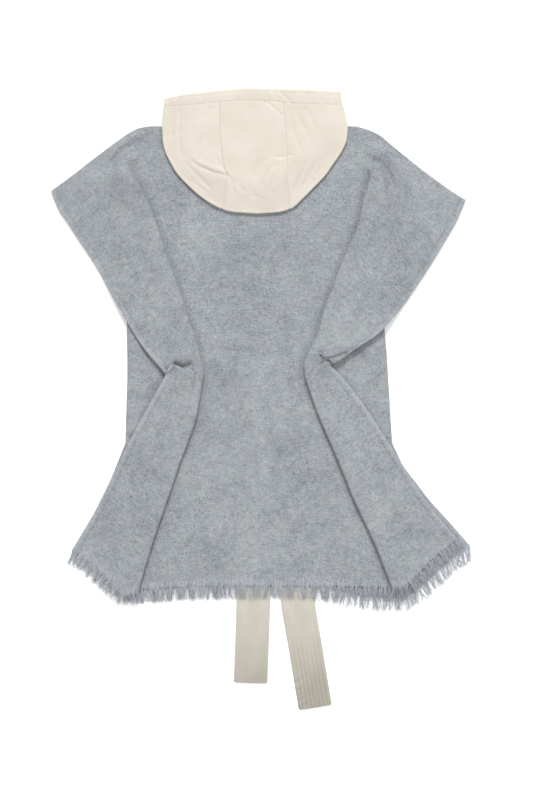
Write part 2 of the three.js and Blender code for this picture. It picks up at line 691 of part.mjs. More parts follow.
const HOOD_CELLS = { sideRows: 11, sideTop: 7, sideUnder: 4, across: 6, top: 12, under: 6 };
const steps = (count) => Array.from({ length: count + 1 }, (_, i) => i / count);

// A side panel: over the top from its seam to the outline, and back under to its seam or the neck.
function hoodSide(name, sign) {
  const seamOf = (drop) => (sign < 0 ? hoodRow(drop).seamLeft : hoodRow(drop).seamRight) + GAP;
  const rows = steps(HOOD_CELLS.sideRows).map((share) => {
    const dropAt = (out) => mix(mouth(sign * out).seam + GAP, HOOD_SEAM_END, share);
    const seam = seamOf(dropAt(seamOf(HOOD[1].at)));
    const edge = hoodWidth(sign, dropAt(hoodWidth(sign, HOOD[1].at)));
    const turnedIn = mix(HOOD_TURN_IN, edge - seam, smooth(NECK.from, NECK.to, dropAt(edge)));
    const depth = Math.min(turnedIn, edge - seam);
    const over = steps(HOOD_CELLS.sideTop).map((s) => {
      const out = edge - (edge - seam) * (1 - s) ** CROWD.over;
      return hoodPoint(sign * out, dropAt(out), true);
    });
    const under = steps(HOOD_CELLS.sideUnder).slice(1).map((s) => {
      const out = edge - depth * s ** CROWD.under;
      return hoodPoint(sign * out, dropAt(out), false);
    });
    const row = [...over, ...under];
    return sign < 0 ? row.reverse() : row;
  });
  return piece(name, gridWall(rows, NYLON / 2, NYLON / 2), "nylon");
}

// The middle panel: from the channel over the crown, and back under to the neck.
function hoodCentre() {
  const at = (drop, share) => {
    const row = hoodRow(drop);
    return mix(-row.seamLeft, row.seamRight, share);
  };
  const across = steps(HOOD_CELLS.across);
  const over = steps(HOOD_CELLS.top).map((s) => {
    return across.map((share) => {
      const start = mouth(at(HOOD[1].at, share)).seam + GAP;
      const end = crownDrop(at(HOOD_SEAM_END, share));
      const drop = mix(start, end, 1 - (1 - s) ** CROWD.over);
      return hoodPoint(at(drop, share), drop, true);
    });
  });
  const under = steps(HOOD_CELLS.under).slice(1).map((s) => {
    return across.map((share) => {
      const drop = mix(crownDrop(at(HOOD_SEAM_END, share)), NECK.to, s ** CROWD.under);
      return hoodPoint(at(drop, share), drop, false);
    });
  });
  const walls = NYLON / 2;
  return piece("hood_centre", gridWall([...over, ...under], walls, walls), "nylon");
}

// The channel: a doubled band round the mouth, gathered by the cord inside it.
function hoodBand() {
  const half = CHANNEL.ripples;
  const columns = [];
  for (let i = -HOOD_CELLS.sideUnder; i <= 2 * half + HOOD_CELLS.sideUnder; i++) {
    const turn = clamp(i / half - 1, -1, 1) * (Math.PI / 2);
    const past = Math.max(-i, i - 2 * half, 0) / HOOD_CELLS.sideUnder;
    columns.push({ swing: Math.sin(turn), past, ripple: i % 2 && !past ? CHANNEL.ripple : 0 });
  }
  const rows = steps(2).map((share) => {
    return columns.map(({ swing, past }) => {
      const sign = Math.sign(swing) || 1;
      const edge = hoodWidth(sign, mix(RIM_WIDTHS_AT.rim, RIM_WIDTHS_AT.seam, share));
      const x = swing * edge - sign * HOOD_TURN_IN * past ** CROWD.under;
      return hoodPoint(x, mix(mouth(x).rim, mouth(x).seam - GAP / 2, share), !past);
    });
  });
  const over = (i) => NYLON / 2 + CHANNEL.raise - columns[i % columns.length].ripple;
  return piece("hood_band", gridWall(rows, over, NYLON / 2), "nylon");
}

// ---- Everything together ----
const hemRow = backRows.at(-1);
const sideColumns = WING_SHARES.length - 1 + 2 * CELLS.turn + CELLS.lap; // from a hemmed edge to the body
const backHems = {
  fringe_back_left: hemRow.slice(0, sideColumns + 1),
  fringe_back_centre: hemRow.slice(sideColumns, hemRow.length - sideColumns),
  fringe_back_right: hemRow.slice(hemRow.length - sideColumns - 1),
};
const FRINGE_SINK = { least: 0.9, share: 0.3 };
const backSink = (z) => FRINGE_SINK.least + FRINGE_SINK.share * Math.max(z - BACK_Z - TIE_RISE - GAP, 0);

const coat = new THREE.Group();
coat.add(piece("back", gridWall(backRows, WOOL / 2, WOOL / 2), "wool"));
coat.add(front("front_left"));
coat.add(front("front_right"));
for (const [name, hem] of Object.entries(backHems)) coat.add(fringe(name, hem, backSink));
coat.add(fringe("fringe_front_left", frontHem("front_left"), () => 0));
coat.add(fringe("fringe_front_right", frontHem("front_right").reverse(), () => 0));
coat.add(hoodSide("hood_left", -1));
coat.add(hoodCentre());
coat.add(hoodSide("hood_right", 1));
coat.add(hoodBand());
for (const name of Object.keys(TIES)) coat.add(tie(name));

// The origin is at the middle of the coat's box, on the surface that it lies on.
const box = new THREE.Box3().setFromObject(coat);
const middle = box.getCenter(new THREE.Vector3());
coat.position.set(-middle.x, -middle.y, -box.min.z);

export default coat;
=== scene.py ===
import math
from types import SimpleNamespace

import bpy
import numpy as np
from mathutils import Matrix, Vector


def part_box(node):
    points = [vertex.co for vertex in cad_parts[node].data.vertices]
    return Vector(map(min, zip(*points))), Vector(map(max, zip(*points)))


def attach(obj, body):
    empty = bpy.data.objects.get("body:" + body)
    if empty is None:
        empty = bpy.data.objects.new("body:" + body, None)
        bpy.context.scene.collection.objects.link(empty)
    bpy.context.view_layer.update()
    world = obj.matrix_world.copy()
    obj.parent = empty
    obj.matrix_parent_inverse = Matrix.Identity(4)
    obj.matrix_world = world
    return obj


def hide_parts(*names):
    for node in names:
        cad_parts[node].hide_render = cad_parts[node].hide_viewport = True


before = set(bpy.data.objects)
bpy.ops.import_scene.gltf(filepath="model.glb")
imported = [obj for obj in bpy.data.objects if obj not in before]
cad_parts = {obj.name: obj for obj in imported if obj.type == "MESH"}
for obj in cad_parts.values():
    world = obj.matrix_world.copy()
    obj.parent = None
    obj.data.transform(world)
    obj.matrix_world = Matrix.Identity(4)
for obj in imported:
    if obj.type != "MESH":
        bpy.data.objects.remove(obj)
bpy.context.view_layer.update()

MM = 0.001
BODY = "root"

# ---- Sizes, in millimetres ----
WOOL = 2.4  # wall of the felted cloth
NYLON = 1.4  # wall of the hood's doubled nylon
GAP = 0.3  # air between two layers
FRONT_Z = WOOL / 2
BACK_Z = WOOL + GAP + WOOL / 2
SHOULDER = -2  # drop of the back's upper edge beside the hood
HEM_DROP = 806
TUCK_FROM = 398  # the tuck across each wing lies between these drops
TUCK_TO = 440
BEND = 1.6  # radius of a plain turn, at the middle of the wall
PLEAT_BENDS = (BEND, 5.2)  # radii of a pleat's outer turn and of its inner fold, which is fuller
SQUEEZE = 0.5  # an inner fold's width, as a share of its height
LEAST_LAP = 2.4  # a fold that opens out keeps this much of its lap
LAP_GROWTH = 3  # and the rest grows with this power of how far it has turned
SETTLE = SimpleNamespace(depth=5.4, run=42)  # a wing sinks on its pleat beside the full inner fold
DROOP = SimpleNamespace(lead=4, run=42)  # where past the pleat's outer turn a wing comes down

# The turned and stitched hem along the wings' edges.
HEM = 10.0
HEM_RAISE = 0.45
HEM_STEP = (HEM - 0.5, HEM + 1.5)  # where its raw edge steps down to the single cloth
STITCH = SimpleNamespace(dip=0.4, width=1.1, pitch=5.0)
EDGE_ROUND = SimpleNamespace(depth=0.3, run=3)

# Where the coat's own middle line and shoulder line are in the frame.
WING_REACH = 364
MIDDLE_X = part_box("back")[0].x / MM + WING_REACH
SHOULDER_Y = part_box("back")[1].y / MM + SHOULDER


def table(names, *rows):
    """A table with named columns, as one dictionary for each row."""
    return [dict(zip(names.split(), row)) for row in rows]


def crease(height, width, *path, fade_in=0.25, fade_out=0.25):
    """A ridge, or below 0 a trough, along a line of (out, drop), which fades at both ends."""
    fades = {"fade_in": fade_in, "fade_out": fade_out}  # shares of its length
    return SimpleNamespace(height=height, width=width, path=path, **fades)


# The two pleated sides of the back, section by section down the body: a row starts at "at" on the
# middle line, turns under at the side, and comes back to the inner fold, where the wing begins. Its
# edge is the hemmed one. bow is how far the wing's row sags, and turn how far the pleat has folded.
PLEAT = "at side fold fold_drop edge edge_drop bow turn"
LEFT_UPPER = table(
    PLEAT,
    (SHOULDER, 224, 222, 7, 364, 112, 0, 0),
    (62, 237, 235, 62, 349, 147, 0, 0),
    (80, 231, 221, 80, 335, 167, 0, 0.5),
    (100, 229, 206, 100, 322, 187, 0, 0.9),
    (128, 232, 194, 128, 306, 211, 0, 1),
    (165, 235, 180, 165, 285, 243, 0, 1),
    (238, 234, 155, 238, 251, 305, 0, 1),
    (321, 232, 126, 321, 204, 383, 0, 1),
    (398, 230, 102, 398, 160, 436, 0, 1),
)
LEFT_LOWER = table(
    PLEAT,
    (440, 230, 96, 440, 164, 440, 0, 1),
    (505, 232, 107, 505, 196, 497, 0, 1),
    (592, 234, 138, 594, 233, 567, 0, 1),
    (668, 237, 164, 670, 262, 627, 2, 1),
    (738, 241, 189, 744, 293, 688, 7, 1),
    (806, 248, 210, 817, 327, 744, 21, 1),
)
RIGHT_UPPER = table(
    PLEAT,
    (SHOULDER, 204, 202, 5, 365, 126, 4, 0),
    (62, 200, 198, 62, 347, 169, 0, 0),
    (80, 204, 194, 80, 338, 184, 0, 0.45),
    (100, 210, 189, 100, 330, 198, 0, 0.85),
    (128, 220, 184, 128, 317, 220, 0, 1),
    (165, 224, 177, 165, 298, 250, 0, 1),
    (238, 222, 147, 238, 256, 312, 0, 1),
    (321, 222, 116, 321, 225, 349, 0, 1),
    (365, 224, 104, 365, 202, 370, 0, 1),
    (398, 227, 88, 398, 178, 385, 0, 1),
)
RIGHT_LOWER = table(
    PLEAT,
    (440, 229, 82.5, 440, 126, 418, 0, 1),
    (466, 231, 91, 466, 145, 436, 0, 1),
    (504, 233, 105, 504, 168, 464, 0, 1),
    (580, 237, 138, 581, 213, 529, 0, 1),
    (652, 242, 168, 654, 254, 594, 2, 1),
    (730, 250, 205, 733, 301, 664, 6, 1),
    (806, 259, 235, 810, 350, 724, 10, 1),
)
# The back's upper edge, from beside the hood out to the wing's corner.
LEFT_SHOULDER = table(
    "at drop",
    *[(0, -2), (186, -2), (208, 1), (222, 7), (236, 16)],
    *[(250, 26), (293, 58), (321, 80), (349, 101), (366, 113)],
)
RIGHT_SHOULDER = table(
    "at drop",
    *[(0, -2), (170, -2), (187, 2), (201, 7), (215, 14), (229, 26)],
    *[(257, 49), (286, 72), (314, 93), (342, 113), (366, 128)],
)
SHOULDER_FADE = 64  # the rows take the shoulder's shape down to here

# Each side's own values. In its tuck the wing turns under along one line and back along another, each
# given by its (out, drop) at the near end, by the pleat, and at the far end, by the hem. over is 1
# where the part below the tuck lies on top, and -1 where the part above does. The first line is
# shifted down by a bulge and the second by a dip. The tuck opens between two shares of the wing, and
# the part on top comes down between the drops in clears. The waist draws the inner fold in.
LEFT = SimpleNamespace(
    sign=-1,
    shoulder=LEFT_SHOULDER,
    upper=LEFT_UPPER,
    lower=LEFT_LOWER,
    over=1,
    near=((100, 433), (100, 418)),
    far=((147, 458), (156, 417)),
    bulge=SimpleNamespace(depth=0, at=0.5, width=0.2),
    dip=SimpleNamespace(depth=7, at=0.52, width=0.2),
    bends=(BEND, 1.8),
    opens=(0.06, 0.45),
    waist=SimpleNamespace(pull=3.5, at=423, run=14),
    clears=(452, 545),
    pocket=[
        crease(5.0, 16.0, (156, 398), (136, 402), (110, 399), fade_in=0.1, fade_out=0.1),
        crease(-7.0, 4.6, (152, 413), (145, 416), (134, 421), (126, 420), (110, 413), fade_in=0.15,
               fade_out=0.3),
    ],
)
RIGHT = SimpleNamespace(
    sign=1,
    shoulder=RIGHT_SHOULDER,
    upper=RIGHT_UPPER,
    lower=RIGHT_LOWER,
    over=-1,
    near=((92, 425), (92, 408)),
    far=((161, 396), (187, 376)),
    bulge=SimpleNamespace(depth=8, at=0.66, width=0.24),
    dip=SimpleNamespace(depth=0, at=0.5, width=0.2),
    bends=(2.4, BEND),
    opens=(0.12, 0.6),
    waist=SimpleNamespace(pull=6.0, at=415, run=15),
    clears=(345, 262),
    pocket=[
        crease(3.5, 14.0, (112, 400), (150, 392), fade_in=0.1, fade_out=0.1),
        crease(3.0, 5.0, (100, 392), (117, 386.4), (131, 385), (154, 385), (174, 383.5), (188, 381),
               fade_in=0.15, fade_out=0.1),
        crease(-4.8, 2.5, (107, 399), (114, 406), (123, 406), (136, 403.5), (146, 399), (160, 395),
               fade_in=0.08, fade_out=0.1),
        crease(-2.0, 2.0, (106, 398), (114, 407), (124, 418), fade_in=0.2, fade_out=0.1),
        crease(2.0, 3.2, (101, 397), (109, 406), (118, 418), fade_in=0.2, fade_out=0.1),
        crease(1.8, 3.0, (118, 412), (130, 412), (146, 405), (158, 398)),
    ],
)

# How finely the back is cut: rows at these steps between these drops, and columns in a half row.
STRETCHES_ABOVE = [(SHOULDER, 56, 5), (56, 140, 3.5), (140, 380, 4.6), (380, TUCK_FROM, 1.8)]
STRETCHES_BELOW = [(TUCK_TO, 454, 1.8), (454, 780, 4.6), (780, HEM_DROP, 3.2)]
# How a row of the back sinks from the middle line to the pleat: suddenly at the shoulder, and more
# evenly past the given drop.
ROW_CURVE = SimpleNamespace(shoulder=8, body=3, drop=200)
BOW = SimpleNamespace(lead=0.5, narrow=4)  # a wing's row is bowed most a quarter of the way out
BODY_CELLS = 44
FOLD_CELLS = (6, 5)  # round a turn, along a lap
TUCK_CELLS = (6, 4)
LEAD_CELLS = 14  # on each side of the tuck
WING_CELLS = 34
HEM_STEPS = [14, 11.5, 10.3, 9.2, 8.0, 6, 3, 0]  # distances from the wing's edge
HEM_LEAD = 4  # the evenly spaced columns end this far before the hem's own


# ---- Small helpers ----
def mix(a, b, share):
    return a + (b - a) * share


def smooth(start, end, value):
    """0 before start and 1 past end, with an easy passage between them."""
    share = np.clip((value - start) / (end - start), 0, 1)
    return share * share * (3 - 2 * share)


def bell(distance, width):
    """1 at no distance, falling off smoothly to nothing within about twice the width."""
    return np.exp(-((distance / width) ** 2))


def run_along(points, axis=0):
    """How far each point is along its line of points."""
    steps = np.linalg.norm(np.diff(points, axis=axis), axis=-1)
    return np.insert(np.cumsum(steps, axis=axis), 0, 0, axis=axis)


def reader(rows):
    """Every value of a table between its rows, by cubic pieces that never overshoot."""
    at = np.array([row["at"] for row in rows], float)
    spans = np.diff(at)
    curves = {}
    for name in rows[0]:
        values = np.array([row[name] for row in rows], float)
        rises = np.diff(values) / spans
        before = np.concatenate([rises[:1], rises])
        after = np.concatenate([rises, rises[-1:]])
        agree = before * after > 0
        slopes = np.where(agree, 2 * before * after / np.where(agree, before + after, 1), 0)
        curves[name] = (values, slopes)

    def read(place):
        i = np.clip(np.searchsorted(at, place, side="right") - 1, 0, len(at) - 2)
        s = np.clip((place - at[i]) / spans[i], 0, 1)
        row = {}
        for name, (values, slopes) in curves.items():
            a, b = values[i], values[i + 1]
            sa, sb = slopes[i] * spans[i], slopes[i + 1] * spans[i]
            cube = 2 * (a - b) + sa + sb
            row[name] = a + sa * s + (3 * (b - a) - 2 * sa - sb) * s**2 + cube * s**3
        return SimpleNamespace(**row)

    return read


def spaced(stretches):
    """Drops at even steps along each stretch."""
    drops = [stretches[0][0]]
    for start, end, step in stretches:
        count = round((end - start) / step)
        drops += [start + (end - start) * i / count for i in range(1, count + 1)]
    return drops


def nearest(points, path):
    """How far each point is from a line of points, and how far along the line, from 0 to 1."""
    path = np.array(path, float)
    before = run_along(path)
    lengths = np.linalg.norm(np.diff(path, axis=0), axis=1)
    best = np.full(points.shape[:-1], 1e9)
    along = np.zeros(points.shape[:-1])
    for start, end, length, run in zip(path, path[1:], lengths, before):
        way = (end - start) / length
        reach = np.clip((points - start) @ way, 0, length)
        away = np.linalg.norm(points - start - reach[..., None] * way, axis=-1)
        closer = away < best
        best = np.where(closer, away, best)
        along = np.where(closer, (run + reach) / before[-1], along)
    return best, along


def creased(points, creases):
    """How far the creases raise each point in all."""
    total = np.zeros(points.shape[:-1])
    for each in creases:
        away, along = nearest(points, each.path)
        ends = smooth(0, each.fade_in, along) * smooth(0, each.fade_out, 1 - along)
        total += each.height * ends * bell(away, each.width)
    return total


WAVES = SimpleNamespace(count=5, length=210, shorten=0.75, turn=2.4, seed_turn=1.7, shift=3)


def waved(x, y, seed):
    """A slow unevenness of about -1 to 1 over a sheet, from waves that run ever other ways."""
    total = np.zeros(np.shape(x))
    for i in range(1, WAVES.count + 1):
        turn = seed * WAVES.seed_turn + i * WAVES.turn
        length = WAVES.length / i**WAVES.shorten
        run = x * math.cos(turn) + y * math.sin(turn)
        total += np.sin(run * 2 * math.pi / length + turn * WAVES.shift) / i
    return total / 2


# ---- Closed sheets ----
def unit(vectors):
    return vectors / np.maximum(np.linalg.norm(vectors, axis=-1, keepdims=True), 1e-9)


def grid_normals(points):
    """The direction up from a grid of points with its rows down the body."""
    down = np.gradient(points, axis=0)
    right = np.gradient(points, axis=1)
    return unit(np.cross(down, right))


def cloth_places(points, middle=0, down=None):
    """Each point's place on the flat cloth: along its row from the middle column, and down."""
    across = run_along(points, 1)
    across -= across[:, middle : middle + 1]
    if down is None:
        down = run_along(points)
    return np.stack([across, np.broadcast_to(down, across.shape)], axis=-1)


def border(rows, columns):
    """The grid's outer points in order: down the left side, along the end, up the right, back."""
    left = [(r, 0) for r in range(rows - 1)]
    bottom = [(rows - 1, c) for c in range(columns - 1)]
    right = [(r, columns - 1) for r in range(rows - 1, 0, -1)]
    top = [(0, c) for c in range(columns - 1, 0, -1)]
    return np.array(left + bottom + right + top)


RIM_TURNS = 3  # loops of points round a sheet's edge, between its two sides
RIM_BULGE = 0.6  # how full the edge is: 1 is a half circle


def band_round(near, far):
    """The corners of each face in a closed band between two loops."""
    return np.stack([near, far, np.roll(far, -1, axis=0), np.roll(near, -1, axis=0)], axis=1)


def sheet_mesh(name, points, over, under, middle=0, down=None, hem=None):
    """A closed mesh of a sheet: its grid of points moved out over and under it, with a rounded rim.

    middle is the column that a place on the flat cloth is measured from. down is each row's own place
    on it, if that isn't just its run, and hem each point's distance from a stitched edge.
    """
    rows, columns = points.shape[:2]
    normals = grid_normals(points)
    over = np.broadcast_to(over, points.shape[:2])[..., None]
    under = np.broadcast_to(under, points.shape[:2])[..., None]
    upper = points + normals * over
    lower = points - normals * under
    cloth = cloth_places(points, middle, down)

    ring = border(rows, columns)
    r, c = ring[:, 0], ring[:, 1]
    inner = (np.clip(r, 1, rows - 2), np.clip(c, 1, columns - 2))
    outward = unit(points[r, c] - points[inner])
    cloth_out = unit(cloth[r, c] - cloth[inner])
    half = (over + under)[r, c] / 2
    centre = (upper[r, c] + lower[r, c]) / 2
    turns = [math.pi * (0.5 - k / (RIM_TURNS + 1)) for k in range(1, RIM_TURNS + 1)]
    bulge = outward * RIM_BULGE
    rims = [centre + half * (normals[r, c] * math.sin(t) + bulge * math.cos(t)) for t in turns]

    size = rows * columns
    index = np.arange(size).reshape(rows, columns)
    a, b = index[:-1, :-1].ravel(), index[1:, :-1].ravel()
    d, e = index[1:, 1:].ravel(), index[:-1, 1:].ravel()
    top_faces = np.stack([a, b, d, e], axis=1)
    under_faces = np.stack([a, e, d, b], axis=1) + size
    loops = [index[r, c]]
    loops += [2 * size + k * len(ring) + np.arange(len(ring)) for k in range(RIM_TURNS)]
    loops += [index[r, c] + size]
    rim_faces = []
    rim_places = []
    for k in range(RIM_TURNS + 1):
        runs = [step * half * math.pi / (RIM_TURNS + 1) for step in (k, k + 1)]
        rim_faces.append(band_round(loops[k], loops[k + 1]))
        rim_places.append(band_round(*[cloth[r, c] + cloth_out * run for run in runs]))
    vertices = np.concatenate([upper.reshape(-1, 3), lower.reshape(-1, 3), *rims])
    faces = np.concatenate([top_faces, under_faces, *rim_faces])
    flat = cloth.reshape(-1, 2)
    places = np.concatenate([flat[top_faces], flat[under_faces - size], *rim_places])
    side = np.zeros(len(faces))
    side[len(top_faces) : 2 * len(top_faces)] = 1
    made = make_mesh(name, vertices, faces.tolist(), places, side)
    if hem is not None:
        inside = np.concatenate([hem.ravel(), hem.ravel(), *[hem[r, c]] * RIM_TURNS])
        add_map(made.data, "hem", np.stack([inside[faces], places[..., 1]], axis=-1) * MM)
    return made


def add_map(mesh, name, places):
    """A UV map with a place for each corner of each face."""
    layer = mesh.uv_layers.new(name=name)
    layer.uv.foreach_set("vector", places.reshape(-1).astype(np.float32))


def make_mesh(name, vertices, faces, places, side=None):
    """The object for these points and faces. places holds each corner's place on the flat cloth."""
    moved = np.array(vertices, float)
    moved[:, 0] += MIDDLE_X
    moved[:, 1] += SHOULDER_Y
    mesh = bpy.data.meshes.new(name)
    mesh.from_pydata((moved * MM).tolist(), [], faces)
    mesh.polygons.foreach_set("use_smooth", np.ones(len(faces), bool))
    add_map(mesh, "cloth", places * MM)
    if side is not None:
        add_map(mesh, "OFBake", bake_places(places, side))
    mesh.update()
    made = bpy.data.objects.new(name, mesh)
    bpy.context.scene.collection.objects.link(made)
    return made


SEEN_SHARE = 0.8  # share of a bake map's height that the upper side takes
BAKE_MARGIN = 0.01


def bake_places(places, side):
    """Both sides of a sheet laid out on one square, the upper one with the most room."""
    low = places.reshape(-1, 2).min(axis=0)
    span = np.ptp(places.reshape(-1, 2), axis=0)
    share = BAKE_MARGIN + (1 - 2 * BAKE_MARGIN) * (places - low) / span
    under = side[:, None] > 0.5
    up = share[..., 1]
    height = np.where(under, SEEN_SHARE + (1 - SEEN_SHARE) * up, SEEN_SHARE * up)
    return np.stack([share[..., 0], height], axis=-1)


def finish_piece(piece, material, slot, *nodes):
    """Gives a piece its material, and puts it in place of its CAD nodes. slot is not used."""
    piece.data.materials.append(material)
    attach(piece, BODY)
    if nodes:
        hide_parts(*nodes)
    return piece


# ---- Materials ----
class Value:
    """A socket that takes part in sums. Each operator adds the node that works it out."""

    def __init__(self, finish, socket):
        self.finish = finish
        self.socket = socket

    def math(self, operation, *terms):
        """This value worked on by a Math node, with any further terms of the sum."""
        inputs = dict(enumerate((self, *terms)))
        return self.finish.node("ShaderNodeMath", {"operation": operation}, inputs)

    def __add__(self, other):
        return self.math("ADD", other)

    def __sub__(self, other):
        return self.math("SUBTRACT", other)

    def __mul__(self, other):
        return self.math("MULTIPLY", other)

    def __truediv__(self, other):
        return self.math("DIVIDE", other)

    def __rsub__(self, other):
        return self * -1 + other

    __radd__ = __add__
    __rmul__ = __mul__

    def between(self, low, high):
        """0 below low and 1 above high, and smooth from one to the other."""
        settings = {"interpolation_type": "SMOOTHSTEP"}
        return self.finish.node("ShaderNodeMapRange", settings, {0: self, 1: low, 2: high})


# A Mix node's sockets by number, because several of them share one name.
MIX_A, MIX_B, MIX_COLOUR = 6, 7, 2


class Finish:
    """A material under construction."""

    def __init__(self, name):
        self.material = bpy.data.materials.new(name)
        self.material.use_nodes = True
        self.tree = self.material.node_tree
        self.tree.nodes.clear()

    def node(self, kind, settings=None, inputs=None, output=0):
        """One output of a new node, which gets its settings first and then its inputs."""
        made = self.tree.nodes.new(kind)
        for name, value in (settings or {}).items():
            if name == "stops":
                self.set_stops(made.color_ramp, value)
            else:
                setattr(made, name, value)
        for key, value in (inputs or {}).items():
            if isinstance(value, Value):
                self.tree.links.new(value.socket, made.inputs[key])
            else:
                made.inputs[key].default_value = value
        return Value(self, made.outputs[output])

    @staticmethod
    def set_stops(ramp, stops):
        while len(ramp.elements) < len(stops):
            ramp.elements.new(1)
        for element, (place, colour) in zip(ramp.elements, stops):
            element.position = place
            element.color = colour

    def places(self, across, down):
        """The place on the flat cloth, with this many units to a metre each way."""
        flat = self.node("ShaderNodeUVMap", {"uv_map": "cloth"})
        return self.vector_math("MULTIPLY", flat, (across, down, 1))

    def vector_math(self, operation, a, b):
        return self.node("ShaderNodeVectorMath", {"operation": operation}, {0: a, 1: b})

    def part(self, vector, axis):
        """One part of a vector, X, Y or Z."""
        return self.node("ShaderNodeSeparateXYZ", None, {0: vector}, axis)

    def noise(self, across, down, detail=2.0, roughness=0.5, seed=0.0):
        """Unevenness along the cloth, with about this many specks to a metre each way."""
        shifted = self.vector_math("ADD", self.places(across, down), (seed, seed * 2.3, 0))
        inputs = {"Vector": shifted, "Scale": 1.0, "Detail": detail, "Roughness": roughness}
        return self.node("ShaderNodeTexNoise", {"noise_dimensions": "2D"}, inputs)

    def speckle(self, scale, detail=2.0, roughness=0.5, seed=0.0):
        """The same unevenness every way, with about this many specks to a metre."""
        place = self.node("ShaderNodeTexCoord", output="Object")
        shifted = self.vector_math("ADD", place, (seed, seed * 2.3, seed * 0.7))
        inputs = {"Vector": shifted, "Scale": scale, "Detail": detail, "Roughness": roughness}
        return self.node("ShaderNodeTexNoise", {"noise_dimensions": "3D"}, inputs)

    def ramp(self, value, *stops):
        """A value turned into a colour, by stops of (value, colour)."""
        return self.node("ShaderNodeValToRGB", {"stops": stops}, {0: value})

    def blend(self, share, a, b, blend_type="MIX"):
        settings = {"data_type": "RGBA", "blend_type": blend_type}
        return self.node("ShaderNodeMix", settings, {0: share, MIX_A: a, MIX_B: b}, MIX_COLOUR)

    def bump(self, height, distance, strength=1.0):
        inputs = {"Height": height, "Distance": distance, "Strength": strength}
        return self.node("ShaderNodeBump", None, inputs)

    def done(self, **sockets):
        """Ends the material: named values of its surface, constants set on its sockets."""
        inputs = {name.replace("_", " "): value for name, value in sockets.items()}
        surface = self.node("ShaderNodeBsdfPrincipled", None, inputs)
        end = self.tree.nodes.new("ShaderNodeOutputMaterial")
        self.tree.links.new(surface.socket, end.inputs["Surface"])
        return self.material


def colour(red, green, blue):
    """A colour given by its usual 0 to 255 values, as the linear values that a node takes."""
    parts = [part / 255 for part in (red, green, blue)]
    linear = [p / 12.92 if p <= 0.04045 else ((p + 0.055) / 1.055) ** 2.4 for p in parts]
    return (*linear, 1.0)


WOOL_DARK = colour(101, 105.5, 113)
WOOL_MID = colour(150, 154.5, 159.5)
WOOL_PALE = colour(187, 191, 194.5)
NEP_TONE = colour(78, 84, 96)
STITCH_TONE = colour(86, 92, 102)


def wool_cloth(name):
    """Felted melange: pale and dark fibres, a faint weft, soft blotches, and a few dark neps."""
    finish = Finish(name)
    grain = finish.speckle(560, 2.0, 0.65, 1.3)
    fleck = finish.speckle(160, 2.0, 0.55, 4.1)
    blotch = finish.speckle(48, 2.0, 0.5, 9.7)
    slow = finish.speckle(13, 1.0, 0.5, 2.9)
    weft = finish.noise(56, 400, 2.0, 0.6, 7.9)
    warp = finish.noise(480, 110, 2.0, 0.6, 5.1)
    fibres = grain * 0.41 + fleck * 0.15 + weft * 0.13 + warp * 0.08
    melange = fibres + blotch * 0.11 + slow * 0.12
    base = finish.ramp(melange, (0.34, WOOL_DARK), (0.5, WOOL_MID), (0.66, WOOL_PALE))
    bluish = finish.speckle(24, 2.0, 0.5, 6.3).between(0.42, 0.62)
    tint = finish.blend(bluish, (1.0, 1.0, 0.985, 1), (0.985, 0.988, 0.997, 1))
    tinted = finish.blend(1.0, base, tint, "MULTIPLY")
    spots = finish.node(
        "ShaderNodeTexVoronoi",
        {"voronoi_dimensions": "2D", "feature": "F1"},
        {"Vector": finish.places(70, 95), "Scale": 1.0},
    )
    picked = finish.speckle(9, 0.0, 0.5, 3.3)
    nep = (1 - spots.between(0.05, 0.12)) * picked.between(0.6, 0.64)
    specked = finish.blend(nep * 0.6, tinted, NEP_TONE)

    hem = finish.node("ShaderNodeUVMap", {"uv_map": "hem"})
    from_edge = finish.part(hem, "X") / MM
    along = finish.part(hem, "Y") / MM
    # painted highlight: the cloth turns paler over the last few millimetres before a hemmed edge,
    # where the rolled edge catches the light
    painted_light = finish.blend((1 - from_edge.between(HEM * 0.2, HEM * 0.7)) * 0.22, specked, WOOL_PALE)
    row = from_edge.between(HEM - 0.9, HEM - 0.3) * (1 - from_edge.between(HEM + 0.5, HEM + 1.1))
    dash = (along * (2 * math.pi / STITCH.pitch)).math("SINE").between(-0.4, 0.3)
    sewn = finish.blend(row * (0.08 + dash * 0.24), painted_light, STITCH_TONE)

    nap = finish.speckle(1100, 2.0, 0.7, 2.2)
    height = nap * 0.5 + grain * 0.5 + fleck * 0.4 - row * dash * 0.5
    return finish.done(
        Base_Color=sewn,
        Roughness=0.94,
        Normal=finish.bump(height, 0.0008, 0.6),
        Sheen_Weight=0.1,
        Sheen_Roughness=0.6,
        Specular_IOR_Level=0.2,
    )


def fringe_yarn(name):
    """Loose yarn: each thread of its own tone, and uneven along its length."""
    finish = Finish(name)
    thread = finish.noise(1000, 8, 1.0, 0.5, 5.5)
    along = finish.noise(1000, 160, 2.0, 0.6, 1.5)
    tone = thread * 0.7 + along * 0.3
    dark, mid, pale = colour(132, 138, 147), colour(182, 187, 194), colour(219, 222, 226)
    base = finish.ramp(tone, (0.34, dark), (0.52, mid), (0.68, pale))
    return finish.done(
        Base_Color=base,
        Roughness=0.9,
        Sheen_Weight=0.3,
        Sheen_Roughness=0.6,
        Specular_IOR_Level=0.2,
    )


def hood_nylon(name):
    """Cream nylon, finely crinkled, with a slight sheen."""
    finish = Finish(name)
    slow = finish.noise(14, 14, 2.0, 0.5, 2.7)
    crinkle = finish.noise(120, 70, 3.0, 0.55, 6.1)
    weave = finish.noise(1500, 1500, 1.0, 0.5, 8.8)
    base = finish.ramp(slow, (0.35, colour(213, 205, 191)), (0.65, colour(219, 211, 198)))
    rough = 0.42 + crinkle * 0.16
    height = crinkle * 0.8 + weave * 0.05
    return finish.done(
        Base_Color=base,
        Roughness=rough,
        Normal=finish.bump(height, 0.0012, 0.6),
        Sheen_Weight=0.15,
        Sheen_Roughness=0.4,
        Specular_IOR_Level=0.35,
    )


